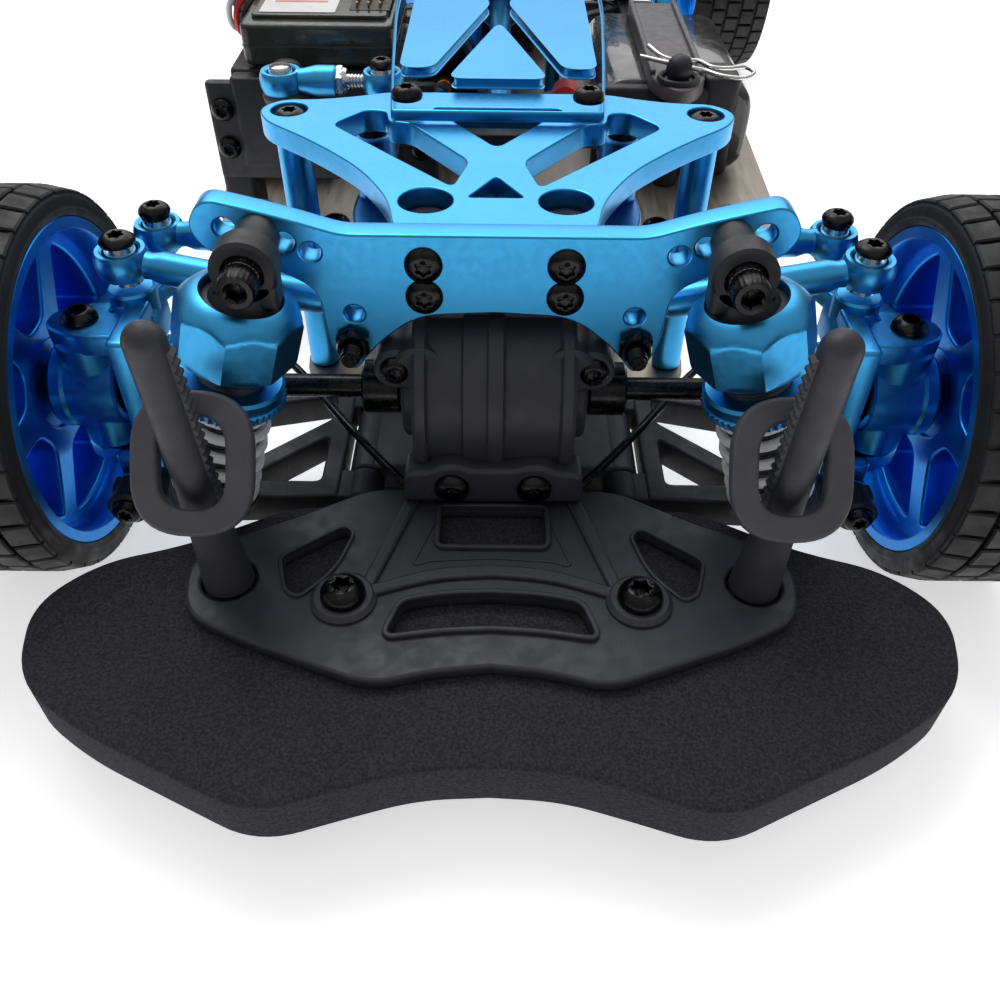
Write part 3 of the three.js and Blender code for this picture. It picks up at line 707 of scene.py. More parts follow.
# ---------------------------------------------------------------- bumper
def bumper_foam():
    half = [
        (0, -14.5, 0),
        (34.5, -14.5, 4),
        (50.5, -23.6, 9),
        (63.5, -27.6, 9),
        (71.6, -36.5, 9),
        (68.8, -50.5, 9),
        (58, -58.4, 9),
        (31.2, -71, 6),
        (19.5, -67.2, 9),
        (10, -64.4, 9),
        (0, -63.9, 0),
    ]
    body = plate(rounded(mirrored(half), steps=8), (FOAM_BOTTOM, FOAM_TOP), edge=0.75, steps=5)
    foam = piece("bumper_foam_block", [(body, FOAM)], "root", FRONT, ["bumper_foam"], sharp=50)


BUMPER_SCREW = (22.6, -37.2)


def bumper_plate():
    low = FOAM_TOP + 0.3
    face = PLATE_TOP - 0.5
    half = [
        (0, -12.4, 0),
        (21, -12.4, 3),
        (35, -20.8, 9),
        (45.6, -25.4, 4),
        (48, -31, 5),
        (46.6, -40, 6),
        (37, -44.9, 9),
        (28, -48.4, 9),
        (17, -52.7, 6),
        (8.6, -50.2, 7),
        (0, -49.3, 0),
    ]
    side = [(33.6, -28.8, 1.5), (24.4, -21.9, 1), (22.9, -23.4, 1), (24.9, -31.2, 4),
            (29.6, -36.7, 1.6), (31.6, -35.6, 1)]
    slot = mirrored([(0, -36.1, 0), (7.5, -36.5, 6), (13.6, -37.9, 1.5), (15.6, -44.2, 1.5),
                     (7.5, -42.8, 6), (0, -42.4, 0)])
    square = mirrored([(8.6, -17.2, 1), (8.6, -25.9, 1)])
    windows = [rounded(w, 1) for w in (square, slot, side, flip(side))]
    windows += [circle(s * POST_X, POST_Y, 4.3) for s in BOTH]
    body = plate(rounded(mirrored(half), steps=7), (low, face), windows, edge=0.55)
    raised = (face - 0.5, PLATE_TOP + 0.35)
    rims = [frame_round(w, 0.9, raised) for w in (windows[0], windows[1])]
    rims += [frame_round(w, 0.6, (face - 0.5, PLATE_TOP)) for w in (windows[2], windows[3])]
    ribs = []
    for s in BOTH:
        spoke = [(s * 11.6, -13), (s * 14, -13), (s * 20.4, -34.8), (s * 18.4, -35.4)]
        ribs.append(plate(rounded(spoke, 0.5), raised, edge=0.45))
        x, y = s * BUMPER_SCREW[0], BUMPER_SCREW[1]
        ribs.append(turned([(0, -1), (5.2, -1), (5.1, 0.5), (4.4, 1.1), (0, 1.1)], (x, y, face)))
    arc = [(0, -30.2, 0), (9, -30.9, 8), (20.5, -35.3, 0.6), (19.9, -37.4, 0.6), (9, -33.4, 8),
           (0, -32.7, 0)]
    ribs.append(plate(rounded(mirrored(arc)), raised, edge=0.45))
    lip = [(0, -28.1, 0), (10, -28.8, 5), (12.4, -29.9, 1), (7.8, -15.5, 1), (0, -15.5, 0)]
    ribs.append(frame_round(rounded(mirrored(lip), 1), 0.5, (face - 0.5, face + 0.25)))
    heads = [
        button_head((s * BUMPER_SCREW[0], BUMPER_SCREW[1], face + 1.1), UP, 3.5, 2.5)
        for s in BOTH
    ]
    parts = [(joined(body, *rims, *ribs), PLASTIC), (joined(*heads), BLACK_STEEL)]
    piece("bumper_plate_moulding", parts, "root", FRONT, ["bumper_plate"])


def frame_round(hole, width, z):
    """A raised rim round a window."""
    inner = oriented(list(hole), True)
    return plate(inset(inner, -width), z, [inner], edge=min(0.3, width / 3))


def body_post(side_name, side):
    """A round post that leans outboard, with a row of teeth for its clip on the inboard side."""
    foot = PLATE_TOP - 0.6
    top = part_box("body_post_" + side_name)[1].z / MM
    height = top - foot
    tip, lean = 2.8, 2
    profile = [(0, 0), (3.9, 0), (3.7, 3), (3.3, 9), (3.0, 16), (tip, 22)]
    dome = [i * PI / 16 for i in range(8)]
    profile += [(tip * math.cos(a), height - tip + tip * math.sin(a)) for a in dome]
    profile += [(0, height)]
    centre = (side * POST_X, POST_Y, foot)
    count, pitch, first = 19, 1.5, foot + 15
    teeth = [(2.2, first)]
    for i in range(count):
        z = first + i * pitch
        teeth += [(3.35, z + 0.2), (3.35, z + 0.6), (2.75, z + 1.1)]
    teeth += [(2.2, first + count * pitch)]
    outline = [Vector((-side * x + side * POST_X, z)) for x, z in teeth]
    saw = upright(outline, (POST_Y - 1, POST_Y + 1), edge=0.1)
    leaning = mapped(
        joined(turned(profile, centre, segments=36), saw),
        lambda p: p + Vector((side * lean * (p.z - foot) / height, 0, 0)),
    )
    name = "body_post_" + side_name
    piece(name + "_serrated", [(leaning, PLASTIC)],
          "root", FRONT, [name])


def post_ring(side_name, side):
    """The flexible oval strap round a body post, tipped up at its back."""
    half_width, half_length, wall = 8.4, 10.0, 3.6
    oval = [(half_width, half_length), (half_width, -half_length),
            (-half_width, -half_length), (-half_width, half_length)]
    hole = [(x - math.copysign(wall + 0.2, x), y - math.copysign(wall, y)) for x, y in oval]
    ring = plate(rounded(oval, 8.2, 10), (-1.2, 1.2), [rounded(hole, 4.3, 8)], edge=0.6, steps=4)
    ring = turned_by(ring, 48, "X", (0, 0, 0))
    centre = Vector((side * POST_X, POST_Y - 0.7, 44.6))
    name = "post_ring_" + side_name
    piece(name + "_strap", [(mapped(ring, lambda p: p + centre), RUBBER)], "root", FRONT, [name])


# ---------------------------------------------------------------- chassis and upper structure
def chassis():
    rear = WHEELBASE
    half = [
        (0, -12.5, 0), (21, -12.5, 3), (24, -8, 3), (24, 26, 5), (30, 34, 5), (41, 36.5, 3),
        (42, 46, 3), (31, 50, 3), (34, 64, 6), (66, 88, 9), (78, 112, 9), (80, rear - 68, 9),
        (70, rear - 52, 9), (40, rear - 42, 6), (25, rear - 30, 5), (24, rear + 14, 3),
        (19, rear + 20, 3), (0, rear + 20, 0),
    ]
    holes = [circle(s * 32, y, 5, 32) for s in BOTH for y in (96, 112)]
    body = plate(rounded(mirrored(half), 3), (CHASSIS_BOTTOM, CHASSIS_TOP), holes[2:], edge=0.3)
    spots = [(12, -6), (12, 10), (34, 42), (60, 100), (66, 130), (66, 160), (12, rear - 8),
             (12, rear + 8)]
    heads = [
        turned([(0, 0.3), (2.9, 0.3), (2.9, -0.3), (1.4, -0.5), (1.3, 0.1, 6), (0, 0.1)],
               (s * x, y, CHASSIS_BOTTOM), UP, 36)
        for x, y in spots for s in BOTH
    ]
    piece("chassis_floor", [(body, CHASSIS), (joined(*heads), BLACK_STEEL)], "root", FRONT,
          ["chassis_plate"])


TOWER_HOLES = [(38.6, 65.4), (30.4, 63.3), (26.8, 61.8)]


def shock_tower(label, at):
    half = [
        (0, 64.6, 0), (22.2, 64.6, 2), (31.1, 67.4, 5), (41.4, 69.9, 3), (44.1, 65.6, 3.4),
        (42, 61.7, 3.4), (31.6, 58.5, 4), (26.6, 55.6, 4), (25.9, 47.2, 4), (24.8, 43.3, 3),
        (22.4, 40.5, 2.6), (18.6, 45.6, 4), (12, 51.2, 4), (0, 51.8, 0),
    ]
    rear_y = TOWER_FACE_Y + TOWER_THICKNESS
    holes = [circle(s * x, z, 1.55, 24) for x, z in TOWER_HOLES + [(21.4, 51.4)] for s in BOTH]
    body = upright(rounded(mirrored(half), steps=7), (TOWER_FACE_Y, rear_y), holes, edge=0.3)
    spots = [(s * x, z) for x, z in ((10.5, 59.9), (10.6, 54.6)) for s in BOTH]
    heads = [button_head((x, TOWER_FACE_Y, z), FORWARD, 2.85, 1.2) for x, z in spots]
    x, z = 22, 46.6
    standoff = [(0, 0), (3.2, 0), (3.25, 0.5), (3.3, 5), (3.6, 5.6), (0, 5.6)]
    nuts, cones = [], []
    for s in BOTH:
        nuts.append(nut((s * x, TOWER_FACE_Y, z), FORWARD, 2.9, 2.4))
        nuts.append(threaded((s * x, TOWER_FACE_Y - 2, z), (s * x, TOWER_FACE_Y - 5.6, z), 1.5))
        nuts.append(nut((s * SHOCK_TOP.x, rear_y, SHOCK_TOP.z), REARWARD, 3.0, 2.6))
        foot = (s * SHOCK_TOP.x, TOWER_FACE_Y, SHOCK_TOP.z + 0.1)
        cones.append(turned(standoff, foot, FORWARD, 36))
    parts = [(body, BLUE), (joined(*heads, *nuts), BLACK_STEEL), (joined(*cones), DARK)]
    piece(label + "_tower_plate", parts, "root", at, [label + "_shock_tower"])


def brace():
    low = BRACE_TOP - 4
    half = [
        (0, -2, 0), (15.2, -2, 2), (16.8, 7, 6), (22.2, 17.6, 9), (31.5, 28, 9), (41.4, 36.6, 4),
        (43.6, 42, 4), (40, 46.4, 4), (33, 46.6, 6), (26.5, 48.2, 5), (20.3, 50.6, 3), (0, 50.6, 0),
    ]
    nose = [(0, 15.4), (4.5, 7.9), (-4.5, 7.9)]
    side = [(7, 11.6, 1.5), (4.6, 21, 2), (15.6, 36.2, 2), (19.4, 36.6, 1.5), (20.2, 41.5, 1.5),
            (24, 41.8, 1.5), (29.2, 35.4, 2), (17.4, 22.6, 9)]
    back = [(0, 26.2), (-12.4, 43.4), (12.4, 43.4)]
    windows = [rounded(nose, 1), rounded(side), rounded(flip(side)), rounded(back, 2)]
    windows += [circle(s * BOSS[0], BOSS[1], 4.25, 36) for s in BOTH]
    wells = [circle(s * BRACE_POST[0], BRACE_POST[1], 3.3, 36) for s in BOTH]
    body = plate(rounded(mirrored(half), steps=7), (low, BRACE_TOP), windows + wells, edge=0.3)
    legs, heads = [], []
    for s in BOTH:
        x, y = s * BRACE_POST[0], BRACE_POST[1]
        legs.append(rod((x, y, CHASSIS_TOP + 0.3), (x, y, low + 0.2), 3.1))
        legs.append(rod((x, y, low), (x, y, BRACE_TOP - 1.3), 3.35, edge=0.05))
        heads.append(button_head((x, y, BRACE_TOP - 1.4), UP, 2.95, 1.4))
    parts = [(joined(body, *legs), BLUE), (joined(*heads), BLACK_STEEL)]
    piece("brace_plate", parts, "root", FRONT, ["front_brace"])


def cross_bay(near, far, side_near, half_base, half_width):
    """Windows that leave a cross between two rails: a triangle at either end and one at either side."""
    apex, corner = 14, 2.6
    centre = (near + far) / 2
    slope = half_base / (centre - near - apex)
    ends = [
        rounded([(-half_base, end), (half_base, end), (0, centre + way * apex)], corner)
        for end, way in ((near, -1), (far, 1))
    ]
    reach = (centre - side_near) * slope * 0.92
    side_far = far - (side_near - near)
    side = [(half_width, side_near), (2.4 + reach, side_near), (2.4, centre), (2.4 + reach, side_far),
            (half_width, side_far)]
    return ends + [rounded(side, corner), rounded(flip(side), corner)]


def deck():
    front_y, rear_y = 35.8, WHEELBASE - 3.6
    half = [
        (0, front_y, 0), (18.8, front_y, 1), (20.7, 58, 9), (23.2, 96, 9), (23.2, rear_y - 66, 9),
        (17, rear_y - 20, 9), (16, rear_y, 2), (0, rear_y, 0),
    ]
    windows = cross_bay(51.8, 142, 57.2, 9, 18.6) + cross_bay(148, rear_y - 64, 150, 9, 18)
    windows += cross_bay(rear_y - 56, rear_y - 12, rear_y - 56, 6, 11)
    body = plate(rounded(mirrored(half)), (DECK_BOTTOM, DECK_TOP), windows, edge=0.45)
    rows = [(16.4, 42.2), (12, rear_y - 5), (17.6, rear_y - 60)]
    heads = [button_head((s * x, y, DECK_TOP), UP, 2.9, 1.9) for x, y in rows for s in BOTH]
    posts = [
        rod((s * 17.6, rear_y - 60, CHASSIS_TOP + 0.3), (s * 17.6, rear_y - 60, DECK_BOTTOM), 2.6)
        for s in BOTH
    ]
    parts = [(joined(body, *posts), BLUE), (joined(*heads), BLACK_STEEL)]
    piece("deck_plate", parts, "root", FRONT, ["upper_deck"])


def gearbox(label, at, boss_top, clamp):
    """The ribbed housing round a differential, its side lugs, bosses and bumper clamp."""
    z = WHEEL_Z + 1
    shell = [
        turned([(0, -13), (15.1, -13), (15.7, -12.4), (15.7, -10.9), (14.6, -10.4), (14.6, -5.2),
                (15.3, -4.8), (15.3, -1.2), (15.9, -0.8), (15.9, 1.4), (14.9, 1.9), (14.9, 10.4),
                (15.7, 10.9), (15.7, 12.4), (15.1, 13), (0, 13)], (0, 0, z), OUTBOARD, 56),
        block((-12.6, 12.6), (-11.3, 17.8), (CHASSIS_TOP + 0.3, WHEEL_Z), 1.5, 0.8),
        block((-12.4, 12.4), (-2.4, 12), (WHEEL_Z, BRACE_TOP - 5.2), 1.5, 0.8),
        block((-9, 9), (12, 17.4), (WHEEL_Z - 8, WHEEL_Z + 12), 1.5, 0.8),
        block((-11.6, 11.6), (-14.2, -11), (CHASSIS_TOP + 3.5, WHEEL_Z - 6), 1.5, 0.7),
    ]
    screws = []
    for s in BOTH:
        x, y = s * BOSS[0], BOSS[1]
        shell.append(pipe((x, y, 40), (x, y, boss_top), 4.0, 1.9, edge=0.35))
        shell.append(rod((x, y, 40), (x, y, boss_top - 2.2), 2.2, segments=20))
        lug = (12, ARM_HINGE_X) if s > 0 else (-ARM_HINGE_X, -12)
        shell.append(block(lug, (-4.4, 12.4), (ARM_Z - 2.8, ARM_Z + 2.8), 0.8, 0.6))
        hinge = s * ARM_HINGE_X
        shell.append(rod((hinge, -4.5, ARM_Z), (hinge, 12.5, ARM_Z), 3.2))
        shell.append(rod((s * 12, -9.4, 42.4), (s * 12, 2, 42.4), 4.2, edge=0.6))
        shell.append(rod((s * 15.5, -8.6, 42), (s * 15.5, 2, 42), 3.7, edge=0.5))
        shell.append(rod((s * 12.2, 0, WHEEL_Z), (s * 15.3, 0, WHEEL_Z), 8.4, edge=0.5))
        screws.append(button_head((s * 15.7, -8.6, 42.2), FORWARD, 2.5, 1.2))
    parts = [(joined(*shell), PLASTIC)]
    if clamp:
        half = [(0, 28.4, 0), (3.6, 28.4, 1), (5.2, 29.2, 1.4), (8.6, 29.2, 1.6), (10.6, 27.9, 1.6),
                (14.6, 27.6, 1.6), (15, 21.2, 0.6), (0, 21.2, 0)]
        parts.append((upright(rounded(mirrored(half)), (-17, -11.2), edge=0.7), PLASTIC))
        screws += [button_head((s * 6.8, -17, 24.6), FORWARD, 2.9, 1.7) for s in BOTH]
    parts.append((joined(*screws), BLACK_STEEL))
    piece(label + "_gearbox_housing", parts, "root", at, [label + "_gearbox"])


def roll_bar(label, at):
    """A thin sprung wire from the clamp on the housing out to each arm."""
    for name, s in SIDES:
        run = curve_through([(s * 11, -14.6, 21.6), (s * 15, -13.4, 22.2), (s * 25, -2, 24),
                             (s * 36, 13, 25), (s * 41, 19, 25)], 6)
        piece(f"{label}_roll_bar_{name}", [(tube(run, 0.75, 12), BLACK_STEEL)], "root", at)


# ---------------------------------------------------------------- a corner of the car
def pocket(start_angle):
    """A rounded sector window between two spokes."""
    inner, outer, spread = 11.5, 23.2, 24
    angles = [start_angle - spread + 2 * spread * i / 8 for i in range(9)]
    arc = [(outer * math.cos(math.radians(a)), outer * math.sin(math.radians(a)), 1.2) for a in angles]
    ends = [start_angle + spread * 0.62, start_angle - spread * 0.62]
    arc += [(inner * math.cos(math.radians(a)), inner * math.sin(math.radians(a)), 2) for a in ends]
    for i in (0, 8):
        arc[i] = (arc[i][0], arc[i][1], 2.6)
    return [p + Vector((0, WHEEL_Z)) for p in rounded(arc, 2, 4)]


def rim(at):
    inner, outer = WHEEL_X - TYRE_HALF_WIDTH + 0.5, WHEEL_X + TYRE_HALF_WIDTH - 0.5
    barrel = [
        (RIM_BORE + 0.3, inner), (RIM_RADIUS - 0.2, inner), (RIM_RADIUS, inner + 0.2),
        (RIM_RADIUS, inner + 1), (RIM_RADIUS - 1.1, inner + 1.2), (RIM_RADIUS - 1.1, outer - 1.2),
        (RIM_RADIUS, outer - 1), (RIM_RADIUS, outer - 0.2), (RIM_RADIUS - 0.2, outer),
        (RIM_BORE + 0.3, outer), (RIM_BORE, outer - 0.3), (RIM_BORE - 0.5, outer - 4),
        (RIM_BORE - 0.5, inner + 2.6), (RIM_BORE, inner + 0.4),
    ]
    disc_inner, disc_outer = inner + 5.6, outer - 1.8
    windows = [pocket(60 * i + 30) for i in range(6)]
    disc = sideways(circle(0, WHEEL_Z, RIM_BORE + 0.2, 96), (disc_inner, disc_outer),
                    windows + [circle(0, WHEEL_Z, 7.6, 36)], edge=0.5)
    hub = pipe((disc_inner + 0.6, 0, WHEEL_Z), (outer - 1.2, 0, WHEEL_Z), 7.9, 3.2, 0.4)
    hexagon = turned([(0, 0), (6.4, 0, 6), (6.8, 0.4, 6), (6.8, 4, 6), (0, 4)],
                     (outer - 9, 0, WHEEL_Z), OUTBOARD, 36)
    axle = [nut((outer - 3.6, 0, WHEEL_Z), OUTBOARD, 4.2, 3.6, 2),
            rod((75.4, 0, WHEEL_Z), (outer - 4, 0, WHEEL_Z), 2.6)]
    parts = [(joined(turned(barrel, (0, 0, WHEEL_Z), OUTBOARD, 96, closed=True), disc, hub, hexagon),
              WHEEL_BLUE), (joined(*axle), STEEL)]
    piece("rim_" + at.name, parts, "wheel_" + at.name, at, ["wheel_rim_" + at.name])


def tread_block(x0, x1, start, sweep, outermost):
    """One block of tread from x0 to x1, across `sweep` radians; an outermost one falls away at its edge."""
    base, top, chamfer = TYRE_RADIUS - 1.7, TYRE_RADIUS - 0.02, 0.26
    edge_drop = 0.75
    lean = 0.004 if outermost else 0
    points, faces = [], []
    steps = 3
    for radius, shrink in ((base, 0.0), (top - 0.28, 0.0), (top, chamfer)):
        for i in range(steps + 1):
            share = i / steps
            angle = start + shrink / top + (sweep - 2 * shrink / top) * share
            for x, dropped in ((x0 + shrink, outermost < 0), (x1 - shrink, outermost > 0)):
                reach = radius - (edge_drop if dropped and radius > base else 0)
                twist = angle + lean * (x - x0) / (x1 - x0)
                points.append(Vector((x, reach * math.sin(twist), WHEEL_Z + reach * math.cos(twist))))
    row = 2 * (steps + 1)
    for level in (0, row):
        for i in range(steps):
            a, b = level + 2 * i, level + 2 * i + 2
            faces += [(a, b, b + row, a + row), (a + 1, a + 1 + row, b + 1 + row, b + 1)]
        faces += [(level, level + row, level + row + 1, level + 1)]
        last = level + 2 * steps
        faces += [(last, last + 1, last + row + 1, last + row)]
    for i in range(steps):
        a = 2 * row + 2 * i
        faces.append((a, a + 1, a + 3, a + 2))
    return points, faces


def tyre(at):
    inner, outer = WHEEL_X - TYRE_HALF_WIDTH, WHEEL_X + TYRE_HALF_WIDTH
    bead = RIM_RADIUS + 0.05
    wall = TYRE_RADIUS - 1.6
    side = [(bead, inner + 1.4), (bead, inner + 0.5), (bead + 0.5, inner + 0.1),
            (bead + 1.1, inner - 0.05), (bead + 1.35, inner + 0.15), (bead + 1.7, inner + 0.2),
            (wall - 0.5, inner + 0.3), (wall - 0.1, inner + 0.5), (wall + 0.5, inner + 1.0),
            (wall + 0.4, inner + 2.6)]
    other = [(radius, inner + outer - x) for radius, x in reversed(side)]
    carcass = turned(side + other, (0, 0, WHEEL_Z), OUTBOARD, 120, closed=True)
    rows = 5
    groove = 0.75
    width = (outer - inner - 1.2 - (rows - 1) * groove) / rows
    blocks = []
    count = 38
    for r in range(rows):
        x0 = inner + 0.6 + r * (width + groove)
        outermost = -1 if r == 0 else 1 if r == rows - 1 else 0
        offset = (0.5 if r % 2 else 0) * 2 * PI / count
        for i in range(count):
            start = 2 * PI * i / count + offset
            blocks.append(tread_block(x0, x0 + width, start, 2 * PI / count - 0.022, outermost))
    parts = [(joined(carcass, *blocks), TYRE)]
    piece("tread_" + at.name, parts, "wheel_" + at.name, at, ["tyre_" + at.name])


def lower_arm(at):
    low, high = ARM_Z - 2.9, ARM_Z + 2.9
    outline = [
        (27, -12, 1), (46, -13.4, 4), (67, -12, 2), (67, -7.6, 0.5), (51.4, -7.4, 1),
        (51.4, 7.4, 1), (67, 7.6, 0.5), (67, 12, 2), (54, 15.6, 3), (27, 20, 1),
    ]
    triangle = rounded([(30.6, -8.2), (44, -8.2), (30.6, 4)], 1.4)
    quad = rounded([(30.6, 9.4), (46.6, -5.2), (46.6, 12), (30.6, 16)], 1.6)
    web = plate(rounded(outline, 1), (low, high), [triangle, quad], edge=0.6)
    brace_bars = [block((45.8, 47.6), (-12.6, 14), (high - 0.5, high + 0.5), 0.5, 0.3)]
    barrels, screws = [], []
    for y0, y1 in ((-12, -5), (13, 20)):
        barrels += [rod((ARM_HINGE_X, y0, ARM_Z), (ARM_HINGE_X, y1, ARM_Z), 3.3, edge=0.4),
                    block((ARM_HINGE_X, 28.4), (y0, y1), (ARM_Z - 2.6, ARM_Z + 2.6), 0.6, 0.5)]
    for s in (-1, 1):
        barrels.append(rod((ARM_PIN_X, s * 7.7, ARM_Z), (ARM_PIN_X, s * 13.6, ARM_Z), 3.5, edge=0.5))
        screws.append(button_head((ARM_PIN_X, s * 13.6, ARM_Z), (0, s, 0), 2.6, 1.4))
    screws.append(rod((ARM_HINGE_X, -12.6, ARM_Z), (ARM_HINGE_X, -11.8, ARM_Z), 1.6))
    parts = [(joined(web, *barrels, *brace_bars), DARK), (joined(*screws), BLACK_STEEL)]
    piece("arm_" + at.name, parts, "lower_arm_" + at.name, at, ["lower_arm_" + at.name])


def hub_foot(top):
    pin = rod((ARM_PIN_X, -7.1, ARM_Z), (ARM_PIN_X, 7.1, ARM_Z), 3.2)
    return [pin, block((57.2, 66.4), (-7, 7), (ARM_Z, top), 1.2, 0.6)]


def caster_block(at, name):
    x, y, z = LINK_OUTER
    bore = circle(0, WHEEL_Z, 7, 36)
    web_outline = rounded([(-9.5, 21), (9.5, 21), (9.5, 36.6), (3.8, 36.6), (3.8, 47), (-9.5, 47)], 1)
    web = sideways(web_outline, (56.7, 60.3), [bore], edge=0.5)
    tip = KINGPIN_X + 5.4
    horn = [(58, -5), (KINGPIN_X, -5.4, 5), (tip, -2, 4), (tip, 2, 4), (KINGPIN_X, 5.4, 5), (58, 5)]
    top, bottom = 45.4, 18
    heights = ((top - 3.8, top), (bottom, bottom + 3.6))
    horns = [plate(rounded(horn, 1), height, edge=0.5) for height in heights]
    boss = [(x - 4, 38, 1), (x + 4.4, 38, 1), (x + 4.4, 46.4, 4), (x - 4, 46.4, 4)]
    horns.append(upright(rounded(boss, 1, 8), (y - 4.1, y + 4), edge=0.5))
    neck_height = z - 47.6
    neck = [(0, 0), (3.9, 0), (3.9, neck_height - 0.4), (3.5, neck_height), (0, neck_height)]
    neck = turned(neck, (x, y, 43), UP, 36)
    # painted shade: the hole round the set screw is given a darker blue to stand for the shade inside the
    # tapped hole
    hole = turned([(0, 0.5), (1.3, 0.5), (1.4, -0.15), (2.0, -0.15), (2.1, 0.3), (0, 0.3)],
                  (x + 0.8, y - 4.1, 42.4), FORWARD, 28)
    set_screw = [(0, 0), (1.25, 0), (1.25, 0.3), (0, 0.3)]
    screws = [button_head((KINGPIN_X, 0, top), UP, 3.0, 1.8),
              button_head((KINGPIN_X, 0, bottom), DOWN, 3.1, 1.6),
              turned(set_screw, (x + 0.8, y - 4.2, 42.4), FORWARD, 24)]
    parts = [(joined(web, *horns, neck, *hub_foot(21.6)), BLUE), (hole, DEEP_BLUE),
             (joined(*screws), BLACK_STEEL)]
    piece("caster_" + name, parts, "caster_block_" + name, at, ["caster_block_" + name])


def hub_tube(start):
    """The bearing tube round the axle, open inboard so that the drive cup shows."""
    tube_shape = turned(
        [(5.0, start + 0.5), (5.4, start), (6.5, start), (6.9, start + 0.4), (6.9, 71.2),
         (7.4, 71.7), (7.4, 73.4), (6.9, 74), (6.2, 74.4), (3.4, 74.4), (3.4, 71), (5.0, 71)],
        (0, 0, WHEEL_Z), OUTBOARD, 56, closed=True)
    bearing = pipe((70.2, 0, WHEEL_Z), (71.4, 0, WHEEL_Z), 5.0, 2.8, 0.2)
    return tube_shape, bearing


def knuckle(at, name):
    x, y, _ = TIE_OUTER
    tube_shape, bearing = hub_tube(63.0)
    arm = [(KINGPIN_X - 4.6, 0, 3), (KINGPIN_X + 4.6, 0, 3), (KINGPIN_X + 3.6, 9, 6),
           (x + 4, y, 4), (x + 2, y + 4.2, 3), (x - 2, y + 4.2, 3), (x - 4, y, 4),
           (KINGPIN_X - 4.8, 9, 6)]
    top = STEERING_ARM_TOP
    shapes = [
        tube_shape,
        plate(rounded(arm, 2), (top - 4, top - 0.4), edge=0.6),
        turned([(0, 0), (3.4, 0), (3.4, 2.6), (2.8, 3), (0, 3)], (x, y, top - 3), UP, 32),
        turned([(0, 0), (5.2, 0), (5.2, 4.6), (4.8, 5), (0, 5)], (KINGPIN_X, 0, 37.6), UP, 36),
        turned([(0, 0), (4.8, 0), (5.2, 0.4), (5.2, 6), (0, 6)], (KINGPIN_X, 0, 22), UP, 36),
    ]
    parts = [(joined(*shapes), BLUE), (bearing, STEEL)]
    piece("knuckle_" + name, parts, "steering_knuckle_" + name, at, ["steering_knuckle_" + name])


def rear_hub(at, name):
    x, y, z = LINK_OUTER
    tube_shape, bearing = hub_tube(63.0)
    bore = circle(0, WHEEL_Z, 5.6, 36)
    upright_outline = [(-6.4, 18), (6.4, 18), (7.4, WHEEL_Z, 6), (5, 39), (-5, 39), (-7.4, WHEEL_Z, 6)]
    shapes = [
        tube_shape,
        sideways(rounded(upright_outline, 2), (58, 66.2), [bore], edge=0.7),
        plate(rounded([(x - 4, -5.6), (x + 4, -5.6), (x + 4, y + 4, 3.6), (x - 4, y + 4, 3.6)], 2),
              (36.4, 44), edge=0.7),
        turned([(0, 0), (3.8, 0), (3.8, z - 48.9), (3.4, z - 48.5), (0, z - 48.5)], (x, y, 43.8),
               UP, 36),
        *hub_foot(21.6),
    ]
    parts = [(joined(*shapes), BLUE), (bearing, STEEL)]
    piece("hub_carrier_" + name, parts, "rear_hub_" + name, at, ["rear_hub_" + name])


def drive_shaft(at):
    z = WHEEL_Z
    shapes = [
        pipe((15.9, 0, z), (22.4, 0, z), 4.6, 2.7, 0.4),
        rod((15.9, 0, z), (18, 0, z), 3.4),
        rod((18, 0, z), (66, 0, z), 2.0, segments=24),
        ball((20.2, 0, z), 2.5),
        rod((20.2, -4.2, z), (20.2, 4.2, z), 0.9, segments=16),
        ball((63.6, 0, z), 2.9),
        rod((63.6, -4.1, z), (63.6, 4.1, z), 1.0, segments=16),
        pipe((61.4, 0, z), (66.4, 0, z), 4.4, 3.2, 0.3),
    ]
    piece("dogbone_" + at.name, [(joined(*shapes), BLACK_STEEL)], "drive_shaft_" + at.name, at,
          ["drive_shaft_" + at.name])


SHOCK_AXIS = (SHOCK_FOOT - SHOCK_TOP).normalized()
SHOCK_LENGTH = (SHOCK_FOOT - SHOCK_TOP).length


def on_shock(profile, segments=48, closed=False):
    """A profile of (radius, reach from the top ball) rows about the shock's own axis."""
    return turned(profile, SHOCK_TOP, SHOCK_AXIS, segments, closed)


